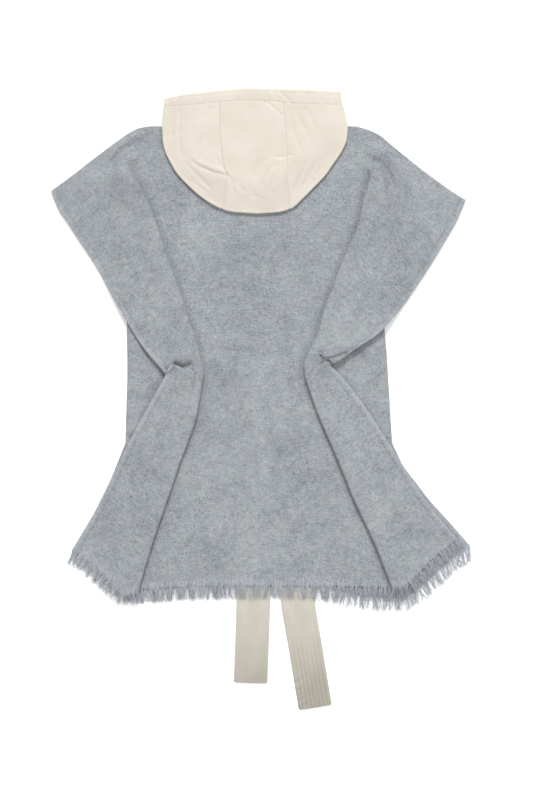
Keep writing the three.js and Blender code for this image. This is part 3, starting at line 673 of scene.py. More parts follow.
def tie_webbing(name):
    """Stone-coloured cotton with a fine weave; painted shade greys it a little towards the free end.
    """
    finish = Finish(name)
    length = finish.part(finish.places(1, 1), "Y")
    fine = finish.noise(900, 1400, 2.0, 0.6, 1.9)
    slow = finish.noise(30, 16, 2.0, 0.5, 5.2)
    tone = fine * 0.4 + slow * 0.6
    unshaded = finish.ramp(tone, (0.3, colour(195, 190, 178)), (0.7, colour(208, 203, 191)))
    # painted shade: the colour greys a little towards the tie's free end
    painted_light = finish.blend(length.between(0.40, 0.62), unshaded, colour(214, 213, 211), "MULTIPLY")
    return finish.done(
        Base_Color=painted_light,
        Roughness=0.8,
        Normal=finish.bump(fine, 0.0004, 0.6),
        Sheen_Weight=0.1,
        Specular_IOR_Level=0.3,
    )


# ---- The ties: two flat sewn bands, between front and back, out past the hem ----
TIES = {
    "tie_left": table("at out", (418, 0), (600, -3), (830, -8), (978, -13)),
    "tie_right": table(
        "at out", (418, 66), (700, 66), (790, 67), (830, 70), (924, 85), (1021, 101)
    ),
}
TIE_WIDTH = 58
TIE_WALL = 1.9
TIE_RIBS = 8
TIE_RIBS_DEEP = {"tie_left": (0.7, 0.8), "tie_right": (0.8, 2.2)}  # a rib's height at top and end
TIE_RIBS_GROW = (860, 990)
TIE_CORNERS = {"tie_left": 4.0, "tie_right": 1.5}
TIE_BED = SimpleNamespace(left=-42, right=100, top=418, fade=46)  # where the back is raised
TIE_RISE = TIE_WALL + 0.6 + GAP
TIE_ROW = 3.0
TIE_CORNER_ROW = 0.5
RIB_CELLS = 6
FRINGE_BED = 2  # height of the front's fringe under a tie
TIE_COMES_DOWN = (818, 838, 880)  # from the front's cloth to its fringe, and on to the floor
TIE_LIFT = SimpleNamespace(height=0.35, start=860, end=940)  # a free end lies a little unevenly
# The stitches pucker the ribs, most on the first ribs of the right tie, near its end.
PUCKER = SimpleNamespace(least=0.06, most=0.7, start=930, end=990, ribs=(1, 4))
PUCKER_SLANT = SimpleNamespace(down=0.55, across=2.1, swing=1.6, swing_down=0.13)


def tie_underside(drop):
    """How high a tie lies: on the front's cloth, then on its fringe, then on the floor."""
    cloth_end, fringe_start, fringe_end = TIE_COMES_DOWN
    on_fringe = mix(WOOL + GAP, FRINGE_BED, smooth(cloth_end, fringe_start, drop))
    return on_fringe * (1 - smooth(fringe_start, fringe_end, drop))


def tie_rise(x, drop):
    """How far the back is raised over the ties."""
    sideways = np.maximum(np.maximum(TIE_BED.left - x, x - TIE_BED.right), 0)
    upwards = np.maximum(TIE_BED.top - drop, 0)
    return TIE_RISE * (1 - smooth(0, TIE_BED.fade, np.hypot(sideways, upwards)))


def tie_points(name, rows, seed):
    """A tie's underside as a grid, and how far its stitched upper side stands over that."""
    corner = TIE_CORNERS[name]
    read = reader(rows)
    start, end = rows[0]["at"], rows[-1]["at"]
    drops = np.array(spaced([(start, end - corner, TIE_ROW), (end - corner, end, TIE_CORNER_ROW)]))
    inner = np.clip(drops, start + 1, end - 1)
    lean = (read(inner + 1).out - read(inner - 1).out) / 2
    along = np.hypot(1, lean)
    left = np.clip(corner - (end - drops), 0, corner)
    half = TIE_WIDTH / 2 - corner + np.sqrt(corner**2 - left**2)
    share = np.linspace(-1, 1, TIE_RIBS * RIB_CELLS + 1)
    across = half[:, None] * share
    x = read(drops).out[:, None] + across / along[:, None]
    down = drops[:, None] + across * -lean[:, None] / along[:, None]
    lift = TIE_LIFT.height * (1 + waved(x, down, seed)) * smooth(TIE_LIFT.start, TIE_LIFT.end, down)
    z = tie_underside(drops)[:, None] + lift
    part = (share + 1) / 2 * TIE_RIBS
    pillow = 1 - np.abs(2 * (part % 1) - 1) ** 3
    rib = mix(*TIE_RIBS_DEEP[name], smooth(*TIE_RIBS_GROW, down))
    swing = PUCKER_SLANT.swing * np.sin(down * PUCKER_SLANT.swing_down + seed)
    slant = down * PUCKER_SLANT.down + part * PUCKER_SLANT.across + swing
    puckered = (1 - smooth(*PUCKER.ribs, part)) * smooth(PUCKER.start, PUCKER.end, down)
    most = PUCKER.most if name == "tie_right" else 0
    pucker = np.sin(slant) * (PUCKER.least + most * puckered)
    wall = TIE_WALL - 0.5 * rib + rib * pillow + pucker
    return np.stack([x, -down, z], axis=-1), wall


def make_ties(material):
    for seed, (name, rows) in enumerate(TIES.items()):
        points, wall = tie_points(name, rows, seed + 1)
        piece = sheet_mesh(name + "_band", points, wall, 0, TIE_RIBS * RIB_CELLS // 2)
        finish_piece(piece, material, "webbing", name)
        length = (rows[-1]["at"] - rows[0]["at"]) * MM


# ---- The back ----
TUCK_LIFTS = 0.3  # a tuck folded this far has its full height
TUCK_TURNS = 0.5  # and one folded this far lies along its own lines
TUCK_HIDES = (0.3, 0.6)  # between these the creases round the tuck leave out what lies under it


def fold_path(turn, lap, bends, cells, squeeze=1):
    """Places along a folded wall: round a turn, back over the lap, and round again."""
    angle = max(turn, 1e-3) * math.pi
    first, second = [math.pi * bend / angle for bend in bends]
    parts = angle * np.arange(cells[0] + 1) / cells[0]
    entry = np.stack([first * np.sin(parts), first * (1 - np.cos(parts))], axis=1)
    runs = lap * np.arange(1, cells[1] + 1) / cells[1]
    middle = entry[-1] + np.stack([runs * math.cos(angle), runs * math.sin(angle)], axis=1)
    left = angle - parts[1:]
    turned = [
        squeeze * second * (math.sin(angle) - np.sin(left)),
        second * (np.cos(left) - math.cos(angle)),
    ]
    return np.concatenate([entry, middle, middle[-1] + np.stack(turned, axis=1)])


def pleat_path(row):
    """The pleat's part of one row, as (out, height), from the body to the wing."""
    outer = PLEAT_BENDS[0]
    squeeze = mix(1, SQUEEZE, row.turn)
    inner = PLEAT_BENDS[1] * squeeze
    width = row.side - row.fold - outer - inner - WOOL
    lap = max(width * row.turn**LAP_GROWTH, LEAST_LAP)
    path = fold_path(row.turn, lap, PLEAT_BENDS, FOLD_CELLS, squeeze)
    middle = (path[0, 0] + path[-1, 0]) / 2
    path[:, 0] += (row.side + row.fold + (inner - outer) * row.turn) / 2 - middle
    return path


def wing_length(row):
    return math.hypot(row.edge - row.fold, row.edge_drop - row.fold_drop)


def wing_shares(row):
    """Columns from the inner fold to the hemmed edge, closer together at the hem."""
    length = wing_length(row)
    plain = np.linspace(0, 1 - (HEM_STEPS[0] + HEM_LEAD) / length, WING_CELLS + 1)
    return np.concatenate([plain, 1 - np.array(HEM_STEPS) / length])


def wing_points(row, shares):
    """The wing's part of one row, which lies on the pleat and comes down past it."""
    start, rise = pleat_path(row)[-1]
    out = mix(start, row.edge, shares)
    bow = row.bow * np.sin(math.pi * shares**BOW.lead) ** BOW.narrow
    drop = mix(row.fold_drop, row.edge_drop, shares) + bow
    settled = rise - SETTLE.depth * row.turn * smooth(0, SETTLE.run, out - start)
    down = smooth(row.side - DROOP.lead, row.side + DROOP.run, out)
    return np.stack([out, drop, BACK_Z + settled * (1 - down)], axis=-1)


def tuck_amount(side, share):
    """How far the tuck is folded at a share of the wing, from 0 by the pleat to 1."""
    return smooth(*side.opens, share)


def tuck_height(side, share):
    """How high the tuck lifts the part of the wing that lies on it."""
    amount = float(tuck_amount(side, share))
    return fold_path(amount, 0, side.bends, TUCK_CELLS)[-1, 1] * smooth(0, TUCK_LIFTS, amount)


def tuck_column(side, above, below, share):
    """The tuck's wall at one share of the wing, from the last row above it to the first below."""
    amount = float(tuck_amount(side, share))
    lines = mix(np.array(side.near, float), np.array(side.far, float), share)
    first, second = [
        line + (0, curve.depth * bell(share - curve.at, curve.width))
        for line, curve in zip(lines, (side.bulge, side.dip))
    ]
    depth = np.linalg.norm(first - second)
    opening = smooth(0, TUCK_TURNS, amount)
    ahead = unit(mix(unit(below[:2] - above[:2]), (first - second) / depth, opening))
    lap = max((depth - sum(side.bends) - WOOL) * amount**LAP_GROWTH, LEAST_LAP)
    path = fold_path(amount, lap, side.bends, TUCK_CELLS)
    runs = path[:, 0] - (path[0, 0] + path[-1, 0]) / 2
    centre = mix((above[:2] + below[:2]) / 2, (first + second) / 2, opening)
    raised = tuck_height(side, share)
    levels = np.array([above[2], above[2] + raised])[:: side.over]
    heights = levels[0] + path[:, 1] * (levels[1] - levels[0]) / (path[-1, 1] or 1)
    folded = np.column_stack([centre + ahead * runs[:, None], heights])
    entry = np.array([*above[:2], levels[0]])
    end = np.array([*below[:2], below[2] + (raised if side.over > 0 else 0)])
    steps = (np.arange(LEAD_CELLS) / LEAD_CELLS)[:, None]
    lead_in = mix(entry, folded[0], steps)
    lead_out = mix(folded[-1], end, steps + 1 / LEAD_CELLS)
    return np.concatenate([lead_in, folded, lead_out])


def tuck_lift(side, at, shares):
    """How much of the tuck's height a row outside it still has."""
    on_top = at >= TUCK_TO if side.over > 0 else at <= TUCK_FROM
    if not on_top:
        return 0
    start, end = side.clears
    left = 1 - smooth(start, end, at) if start < end else 1 - smooth(-start, -end, -at)
    return np.array([tuck_height(side, share) for share in shares]) * left


def half_row(row, wing):
    """One side's half of a row, from the middle line out to the hemmed edge."""
    fold = pleat_path(row)
    reach = fold[0, 0]
    out = reach * np.arange(BODY_CELLS) / BODY_CELLS
    curve = mix(ROW_CURVE.shoulder, ROW_CURVE.body, float(smooth(0, ROW_CURVE.drop, row.at)))
    drop = mix(row.at, row.fold_drop, (out / reach) ** curve)
    body = np.column_stack([out, drop, np.full(BODY_CELLS, BACK_Z)])
    pleat = np.column_stack([fold[:, 0], np.full(len(fold), row.fold_drop), BACK_Z + fold[:, 1]])
    return np.concatenate([body, pleat, wing[1:]])


def side_rows(side):
    """All rows of one side, as points from the middle line outwards, before they are mirrored.

    Also gives each row's place down the flat cloth, and where the creases round the tuck may show.
    """
    upper, lower = reader(side.upper), reader(side.lower)

    def pulled(row):
        """The row with its inner fold drawn in where the waist is narrowest."""
        row.fold -= side.waist.pull * bell(row.at - side.waist.at, side.waist.run)
        return row

    def plain(row):
        row = pulled(row)
        shares = wing_shares(row)
        wing = wing_points(row, shares)
        wing[:, 2] += tuck_lift(side, row.at, shares)
        return half_row(row, wing)

    last, first = upper(TUCK_FROM), lower(TUCK_TO)
    shares_above, shares_below = wing_shares(last), wing_shares(first)
    above, below = wing_points(last, shares_above), wing_points(first, shares_below)
    shares = (shares_above + shares_below) / 2
    columns = [tuck_column(side, *column) for column in zip(above, below, shares)]
    in_tuck = []
    for i, at in enumerate(columns[0][:, 1]):
        part = smooth(TUCK_FROM, TUCK_TO, at)
        values = {key: mix(value, vars(first)[key], part) for key, value in vars(last).items()}
        row = SimpleNamespace(**{**values, "at": at, "fold_drop": at})
        in_tuck.append(half_row(pulled(row), np.array([column[i] for column in columns])))
    drops_above = spaced(STRETCHES_ABOVE)[:-1]
    drops_below = spaced(STRETCHES_BELOW)[1:]
    rows = [plain(upper(at)) for at in drops_above]
    rows += in_tuck + [plain(lower(at)) for at in drops_below]
    down = np.array([*drops_above, *columns[0][:, 1], *drops_below])
    visible = len(drops_above) + LEAD_CELLS + (TUCK_CELLS[0] // 2 if side.over < 0 else 0)
    closed = np.ones(HALF_COLUMNS)
    closed[-len(shares) :] = 1 - smooth(*TUCK_HIDES, tuck_amount(side, shares))
    pocket = np.where((np.arange(len(down)) < visible)[:, None], 1, closed)
    return np.array(rows), down, pocket


PLEAT_COLUMNS = 2 * FOLD_CELLS[0] + FOLD_CELLS[1]
WING_START = BODY_CELLS + PLEAT_COLUMNS
HALF_COLUMNS = WING_START + WING_CELLS + len(HEM_STEPS) + 1

# Creases of the middle of the back, and of each wing, as lines of (out, drop).
BODY_CREASES = [
    crease(3.8, 10.0, (-74, 380), (-50, 381), (-10, 378), fade_in=0.3, fade_out=0.6),
    crease(-4.4, 3.2, (-106, 394), (-84, 395), (-60, 393), (-34, 395), (-4, 391), fade_in=0.03,
           fade_out=0.6),
    crease(5.4, 14.0, (-78, 431), (-50, 433), (-20, 431), (20, 426), fade_in=0.3, fade_out=0.6),
    crease(3.6, 24.0, (-70, 462), (-30, 464), (30, 460), fade_in=0.35, fade_out=0.5),
    crease(3.4, 4.5, (-70, 530), (-68, 690), (-66, 840), fade_in=0.5, fade_out=0.02),
    crease(-1.8, 3.2, (-196, 119), (-150, 118), (-110, 124), (-84, 132), fade_in=0.1),
    crease(-1.2, 8.0, (-120, 170), (-40, 176), (30, 170)),
    crease(-1.2, 7.0, (-190, 150), (-150, 166), (-90, 178)),
    crease(-1.2, 9.0, (150, 150), (100, 172), (40, 184)),
    crease(0.9, 12.0, (60, 560), (68, 700), (66, 800)),
]
LEFT_CREASES = [
    crease(6.0, 17.0, (216, 364), (188, 402), (162, 434), fade_in=0.6, fade_out=0.02),
    crease(5.0, 20.0, (250, 110), (236, 70), (216, 44), (196, 34), fade_in=0.3, fade_out=0.3),
    crease(5.0, 8.0, (188, 15), (214, 15), (238, 26), (258, 46), (270, 70)),
    crease(-7.0, 6.5, (258, 88), (254, 62), (240, 42), (222, 32), (200, 27)),
    crease(4.5, 8.0, (240, 92), (237, 66), (228, 52), (208, 42)),
    crease(-5.0, 8.0, (196, 50), (206, 64), (212, 84)),
]
RIGHT_CREASES = [
    crease(5.0, 24.0, (184, 60), (214, 60), (240, 86), (254, 130), fade_in=0.2, fade_out=0.4),
    crease(6.0, 10.0, (176, 40), (202, 37), (230, 46), (250, 67), (263, 98), (272, 132)),
    crease(-9.0, 6.5, (172, 62), (194, 58), (213, 63), (228, 79), (235, 100), (239, 126)),
    crease(2.5, 8.0, (190, 88), (202, 78), (213, 84), (222, 108)),
    crease(-3.0, 6.0, (246, 40), (262, 68), (276, 100)),
]

LEAST_RISE = 0.6  # how softly the back's troughs level out where it lies on the front
UNEVEN = SimpleNamespace(body=0.3, wing=0.6)
# Columns over which the body's creases fade out before the pleat, and a wing's come in past it.
BODY_FADE = (BODY_CELLS - 3, BODY_CELLS)
WING_FADE = (WING_START + 1, WING_START + 5)
FOLD_FADE = (BODY_CELLS + 4, WING_START + 4)
FOLD_FADE_DROPS = (56, 84)  # above these there is no pleat, and a wing's creases run on inwards


def back_points():
    """The back's grid, from the left wing's edge over the middle line to the right wing's."""
    halves = []
    for side, creases in ((LEFT, LEFT_CREASES), (RIGHT, RIGHT_CREASES)):
        half, down, pocket = side_rows(side)
        above = reader(side.shoulder)(half[0, :, 0]).drop - half[0, :, 1]
        half[..., 1] += above * (1 - smooth(SHOULDER, SHOULDER_FADE, down))[:, None]
        flat = half[..., :2]
        past_fold = smooth(*FOLD_FADE, np.arange(HALF_COLUMNS))
        spread = mix(1, past_fold, smooth(*FOLD_FADE_DROPS, down)[:, None])
        half[..., 2] += creased(flat, creases) * spread
        half[..., 2] += creased(flat, side.pocket) * past_fold * pocket
        half[..., 0] *= side.sign
        half[..., 1] *= -1
        halves.append(half)
    points = np.concatenate([halves[0][:, :0:-1], halves[1]], axis=1)
    flat = points[..., :2] * (1, -1)
    x, drop = flat[..., 0], flat[..., 1]
    columns = np.abs(np.arange(points.shape[1]) - (HALF_COLUMNS - 1))
    on_body = 1 - smooth(*BODY_FADE, columns)
    on_wing = smooth(*WING_FADE, columns)
    points[..., 2] += creased(flat, BODY_CREASES) * on_body
    points[..., 2] += UNEVEN.body * (1 + waved(x, drop, 1)) * on_body
    points[..., 2] += UNEVEN.wing * (1 + waved(x, drop, 2)) * on_wing
    over_front = points[..., 2] - BACK_Z
    levelled = (over_front + np.hypot(over_front, LEAST_RISE)) / 2
    points[..., 2] = BACK_Z + levelled + tie_rise(x, drop)
    return points, down


def distance_in(points):
    """How far each point lies in from the nearer end of its row, along the cloth."""
    run = run_along(points, 1)
    return np.minimum(run, run[:, -1:] - run)


def hem_relief(inside):
    """How far the turned hem stands over the wings, with the dip of its stitches."""
    band = HEM_RAISE * (1 - smooth(*HEM_STEP, inside))
    groove = STITCH.dip * bell(inside - HEM, STITCH.width)
    return band - groove - EDGE_ROUND.depth * (1 - smooth(0, EDGE_ROUND.run, inside))


def make_back(material):
    points, down = back_points()
    inside = distance_in(points)
    middle = HALF_COLUMNS - 1
    over = WOOL / 2 + hem_relief(inside)
    piece = sheet_mesh("back_panel", points, over, WOOL / 2, middle, down[:, None], inside)
    finish_piece(piece, material, "wool", "back")
    return piece, points


# ---- The front: two flat halves that meet at the middle, under the back ----
SIDES = {"left": -1, "right": 1}
# Each half's outer edge from the shoulder down, and its hem from the middle out, as (out, drop).
FRONT_EDGES = {
    "front_left": [
        *[(190, 0), (250, 32), (359, 119), (303, 206), (245, 300)],
        *[(231, 336), (229, 440), (233, 556), (272, 652), (328, 746)],
    ],
    "front_right": [
        *[(175, 0), (222, 24), (277, 66), (359, 129), (326, 189), (288, 243), (248, 303)],
        *[(222, 346), (228, 442), (236, 556), (255, 596), (301, 656), (343, 702), (374, 738)],
    ],
}
FRONT_HEMS = {
    "front_left": [(0, HEM_DROP), (110, 808), (214, 816), (262, 796), (292, 768), (328, 746)],
    "front_right": [
        *[(0, HEM_DROP), (110, 809), (197, 827), (258, 829)],
        *[(288, 808), (318, 780), (346, 756), (374, 738)],
    ],
}
FRONT_CELLS = (150, 60)  # down, across
FRONT_CROWD = 1.3  # the columns lie closer together towards the hemmed edge
UNSTITCHED = HEM * 9  # a place this far in from an edge shows no hem


def along_line(line, shares):
    """Points at shares of a line's length."""
    line = np.array(line, float)
    run = run_along(line)
    return np.stack([np.interp(shares * run[-1], run, part) for part in line.T], axis=-1)


def front_points(name, sign):
    """A patch between the middle line, the shoulder, the hemmed edge and the fringed hem."""
    down = np.linspace(0, 1, FRONT_CELLS[0] + 1)
    out = 1 - (1 - np.linspace(0, 1, FRONT_CELLS[1] + 1)) ** FRONT_CROWD
    middle = along_line([(GAP / 2, 0), (GAP / 2, HEM_DROP)], down)[:, None]
    edge = along_line(FRONT_EDGES[name], down)[:, None]
    shoulder = along_line([(GAP / 2, 0), FRONT_EDGES[name][0]], out)[None]
    hem = along_line(FRONT_HEMS[name], out)[None]
    hem = np.maximum(hem, (GAP / 2, 0))
    u, v = out[None, :, None], down[:, None, None]
    corners = mix(mix(middle[0, 0], edge[0, 0], u), mix(middle[-1, 0], edge[-1, 0], u), v)
    flat = mix(middle, edge, u) + mix(shoulder, hem, v) - corners
    z = np.full(flat.shape[:2], FRONT_Z)
    return np.stack([flat[..., 0] * sign, -flat[..., 1], z], axis=-1)


def make_front(name, sign, material):
    points = front_points(name, sign)
    if sign < 0:
        points = points[:, ::-1]
    middle = 0 if sign > 0 else FRONT_CELLS[1]
    run = distance_in(points)
    outer_half = np.arange(points.shape[1]) * sign > middle * sign / 2
    inside = np.where(outer_half, run, run + UNSTITCHED)
    piece = sheet_mesh(name + "_panel", points, WOOL / 2, WOOL / 2, middle, None, inside)
    finish_piece(piece, material, "wool", name)
    return piece


# ---- The fringes: locks of yarn that hang from the hems ----
THREAD = SimpleNamespace(
    segments=9,
    held=2,  # of those, the ones on the cloth
    pitch=0.42,
    radius=0.27,
    tip=0.12,
    length=25.0,
    on_cloth=12.0,
    sunk=0.1,  # its start lies this deep in the nap
    falls=0.35,  # how far it turns from straight out of the hem to straight down the body
    down_by=0.8,  # share of its length at which it has come down
)
# How the draws vary: for whole locks of threads, and for each thread in its lock.
LOCK = SimpleNamespace(
    width=2.4, shift=0.3, sway=0.10, sway_step=0.7,
    lean=0.11, curl=0.14, length=0.06, height=(-0.3, 0.7),
)
STRAND = SimpleNamespace(
    start=(0.25, 1.0), lean=0.06, curl=0.12, length=(0.74, 1.04),
    gather=(0.0, 0.4), gather_late=1.3, snake=0.35, snake_step=1.9, bob=0.25, end_gap=0.2,
)
FULL_TURN = 6.28
THREAD_APART = 3.7  # how far apart neighbouring threads lie on the flat cloth's map
HEM_LOOK = 2  # the hem's direction is taken over this far to each side
FRINGE_FLOOR = 0.7
FRINGE_ROWS = 5  # rows of the back from its hem up to where the threads begin
FRINGE_POINTS = 200  # along each half's hem of the front
WORN_SHORT = {"fringe_back_left": 0.84}
SINK = SimpleNamespace(least=1.0, share=0.35)  # how far threads come down from a hem that lies high


def fringe_threads(name, hem, above, seed):
    """Paths of all threads of one hem, each a row of points. They gather into small locks.

    hem is the cloth's last row, and above one further up, where the loosened weft begins.
    """
    rng = np.random.default_rng(seed)
    run = run_along(hem)
    whole = run[-1]

    def along(line, places):
        return np.stack([np.interp(places, run, part) for part in line.T], axis=-1)

    locks = max(2, round(whole / LOCK.width))
    number = np.arange(locks)
    centres = (number + 0.5 + rng.uniform(-LOCK.shift, LOCK.shift, locks)) * whole / locks
    leans = LOCK.sway * np.sin(number * LOCK.sway_step + seed) + rng.normal(0, LOCK.lean, locks)
    curls = rng.normal(0, LOCK.curl, locks)
    longest = THREAD.length * WORN_SHORT.get(name, 1)
    lengths = longest * (1 + rng.normal(0, LOCK.length, locks))
    heights = rng.uniform(*LOCK.height, locks)

    count = round(whole / THREAD.pitch)
    places = np.sort(rng.uniform(STRAND.end_gap, whole - STRAND.end_gap, count))
    mine = np.abs(places[:, None] - centres).argmin(axis=1)
    root = along(hem, places)
    first = mix(root, along(above, places), rng.uniform(*STRAND.start, count)[:, None])
    ends = np.minimum(places + HEM_LOOK, whole), np.maximum(places - HEM_LOOK, 0)
    ahead = along(hem, ends[0]) - along(hem, ends[1])
    level = np.hypot(ahead[:, 0], ahead[:, 1])
    way = np.stack([ahead[:, 1], -ahead[:, 0]], axis=1) / np.maximum(level, 1e-6)[:, None]
    way = np.where((level > HEM_LOOK)[:, None], way, (0, -1))
    way = unit(mix(way, np.array([0, -1.0]), THREAD.falls))
    across = np.stack([-way[:, 1], way[:, 0]], axis=1)
    lean = leans[mine] + rng.normal(0, STRAND.lean, count)
    curl = curls[mine] + rng.normal(0, STRAND.curl, count)
    length = lengths[mine] * rng.uniform(*STRAND.length, count)
    gather = (centres[mine] - places) * rng.uniform(*STRAND.gather, count)
    wobble = rng.uniform(0, FULL_TURN, count)
    high = np.maximum(root[:, 2] - BACK_Z - TIE_RISE - GAP, 0)
    sink = SINK.least + SINK.share * high

    paths = []
    for k in range(THREAD.segments + 1):
        s = max(0, (k - THREAD.held) / (THREAD.segments - THREAD.held))
        held = max(0, 1 - k / THREAD.held)
        base = mix(root, first, held)
        snake = STRAND.snake * np.sin(k * STRAND.snake_step + wobble)
        sideways = (lean * s + curl * s * s) * length + gather * s**STRAND.gather_late + snake
        plan = base[:, :2] + way * (length * s)[:, None] + across * sideways[:, None]
        bob = rng.uniform(-STRAND.bob, STRAND.bob, count) + heights[mine] * math.sin(math.pi * s)
        on_top = base[:, 2] + WOOL / 2 - THREAD.sunk * held
        z = on_top - sink * smooth(0, THREAD.down_by, s) + bob
        paths.append(np.column_stack([plan, np.maximum(z, FRINGE_FLOOR)]))
    return np.array(paths).transpose(1, 0, 2)


def threads_mesh(name, paths):
    """Three-sided tapering threads along these paths, closed at both ends, as one mesh."""
    count, stops = paths.shape[:2]
    along = unit(np.gradient(paths, axis=1))
    side = unit(np.cross(along, (0, 0, 1.0)))
    rise = np.cross(side, along)
    radius = mix(THREAD.radius, THREAD.tip, np.linspace(0, 1, stops) ** 1.5)[None, :, None]
    turns = [2 * math.pi * k / 3 - math.pi / 2 for k in range(3)]
    rings = [paths + radius * (side * math.cos(turn) + rise * math.sin(turn)) for turn in turns]
    vertices = np.stack(rings, axis=2).reshape(-1, 3)

    base = np.arange(count)[:, None, None] * stops * 3
    step = np.arange(stops - 1)[None, :, None] * 3
    corner = np.arange(3)[None, None, :]
    after = (corner + 1) % 3
    quads = np.stack(np.broadcast_arrays(corner, after, after + 3, corner + 3), axis=-1)
    quads = quads + (base + step)[..., None]
    runs = np.linspace(0, THREAD.length + THREAD.on_cloth, stops)
    u = np.arange(count)[:, None, None] * THREAD_APART
    v, v_after = runs[:-1][None, :, None], runs[1:][None, :, None]
    flat = [(u, v), (u + 1, v), (u + 1, v_after), (u, v_after)]
    places = [np.stack(np.broadcast_arrays(*place, corner)[:2], axis=-1) for place in flat]
    places = np.stack(places, axis=3)

    starts = base[:, 0]
    ends = starts + (stops - 1) * 3
    caps = np.concatenate([starts + (2, 1, 0), ends + (0, 1, 2)])
    cap_places = np.concatenate([np.repeat(places[:, 0, 0, 0], 3, axis=0)] * 2)
    faces = quads.reshape(-1, 4).tolist() + caps.tolist()
    return make_mesh(name, vertices, faces, np.concatenate([places.reshape(-1, 2), cap_places]))


def make_fringes(back_grid, material):
    """The threads of all five hems. Returns them by the sheet that they hang from."""
    hems = back_grid[-1], back_grid[-FRINGE_ROWS]
    wing = HALF_COLUMNS - 1 - BODY_CELLS
    columns = back_grid.shape[1]
    parts = {
        "fringe_back_left": slice(0, wing + 1),
        "fringe_back_centre": slice(wing, columns - wing),
        "fringe_back_right": slice(columns - wing - 1, columns),
    }
    made = {"back_panel": [], "front_left_panel": [], "front_right_panel": []}
    for seed, (name, part) in enumerate(parts.items()):
        paths = fringe_threads(name, *[line[part] for line in hems], seed + 1)
        piece = threads_mesh(name + "_threads", paths)
        made["back_panel"].append(finish_piece(piece, material, "fringe", name))
    for seed, (side, sign) in enumerate(SIDES.items()):
        line = [(sign * out, -drop, FRONT_Z) for out, drop in FRONT_HEMS["front_" + side][::sign]]
        line = along_line(line, np.linspace(0, 1, FRINGE_POINTS))
        above = line + (0, THREAD.on_cloth * 0.5, 0)
        name = "fringe_front_" + side
        piece = threads_mesh(name + "_threads", fringe_threads(name, line, above, seed + 5))
        made[f"front_{side}_panel"].append(finish_piece(piece, material, "fringe", name))
    return made


# ---- The hood: three panels and a gathered channel round its mouth ----
# The hood's outline and its two panel seams: how far out they lie to each side, by drop.
HOOD = table(
    "at left right seam_left seam_right",
    (-70, 163, 143.5, 69, 43),
    (-46, 165, 147.5, 68, 44),
    (-20, 167.5, 154, 67.5, 46),
    (-1, 168, 157.5, 67.5, 47.5),
    (19, 167.5, 156, 66, 49.5),
    (35, 165, 150.5, 64.5, 51),
    (69, 149.5, 128.5, 60, 50),
    (82, 141, 119.5, 54.5, 50),
    (109, 115, 94, 57, 54),
    (126, 94, 77, 59, 55),
    (141, 68, 60, 61, 54),
    (148, 44, 38, 62, 53),
    (151, 0, 0, 62, 53),
)
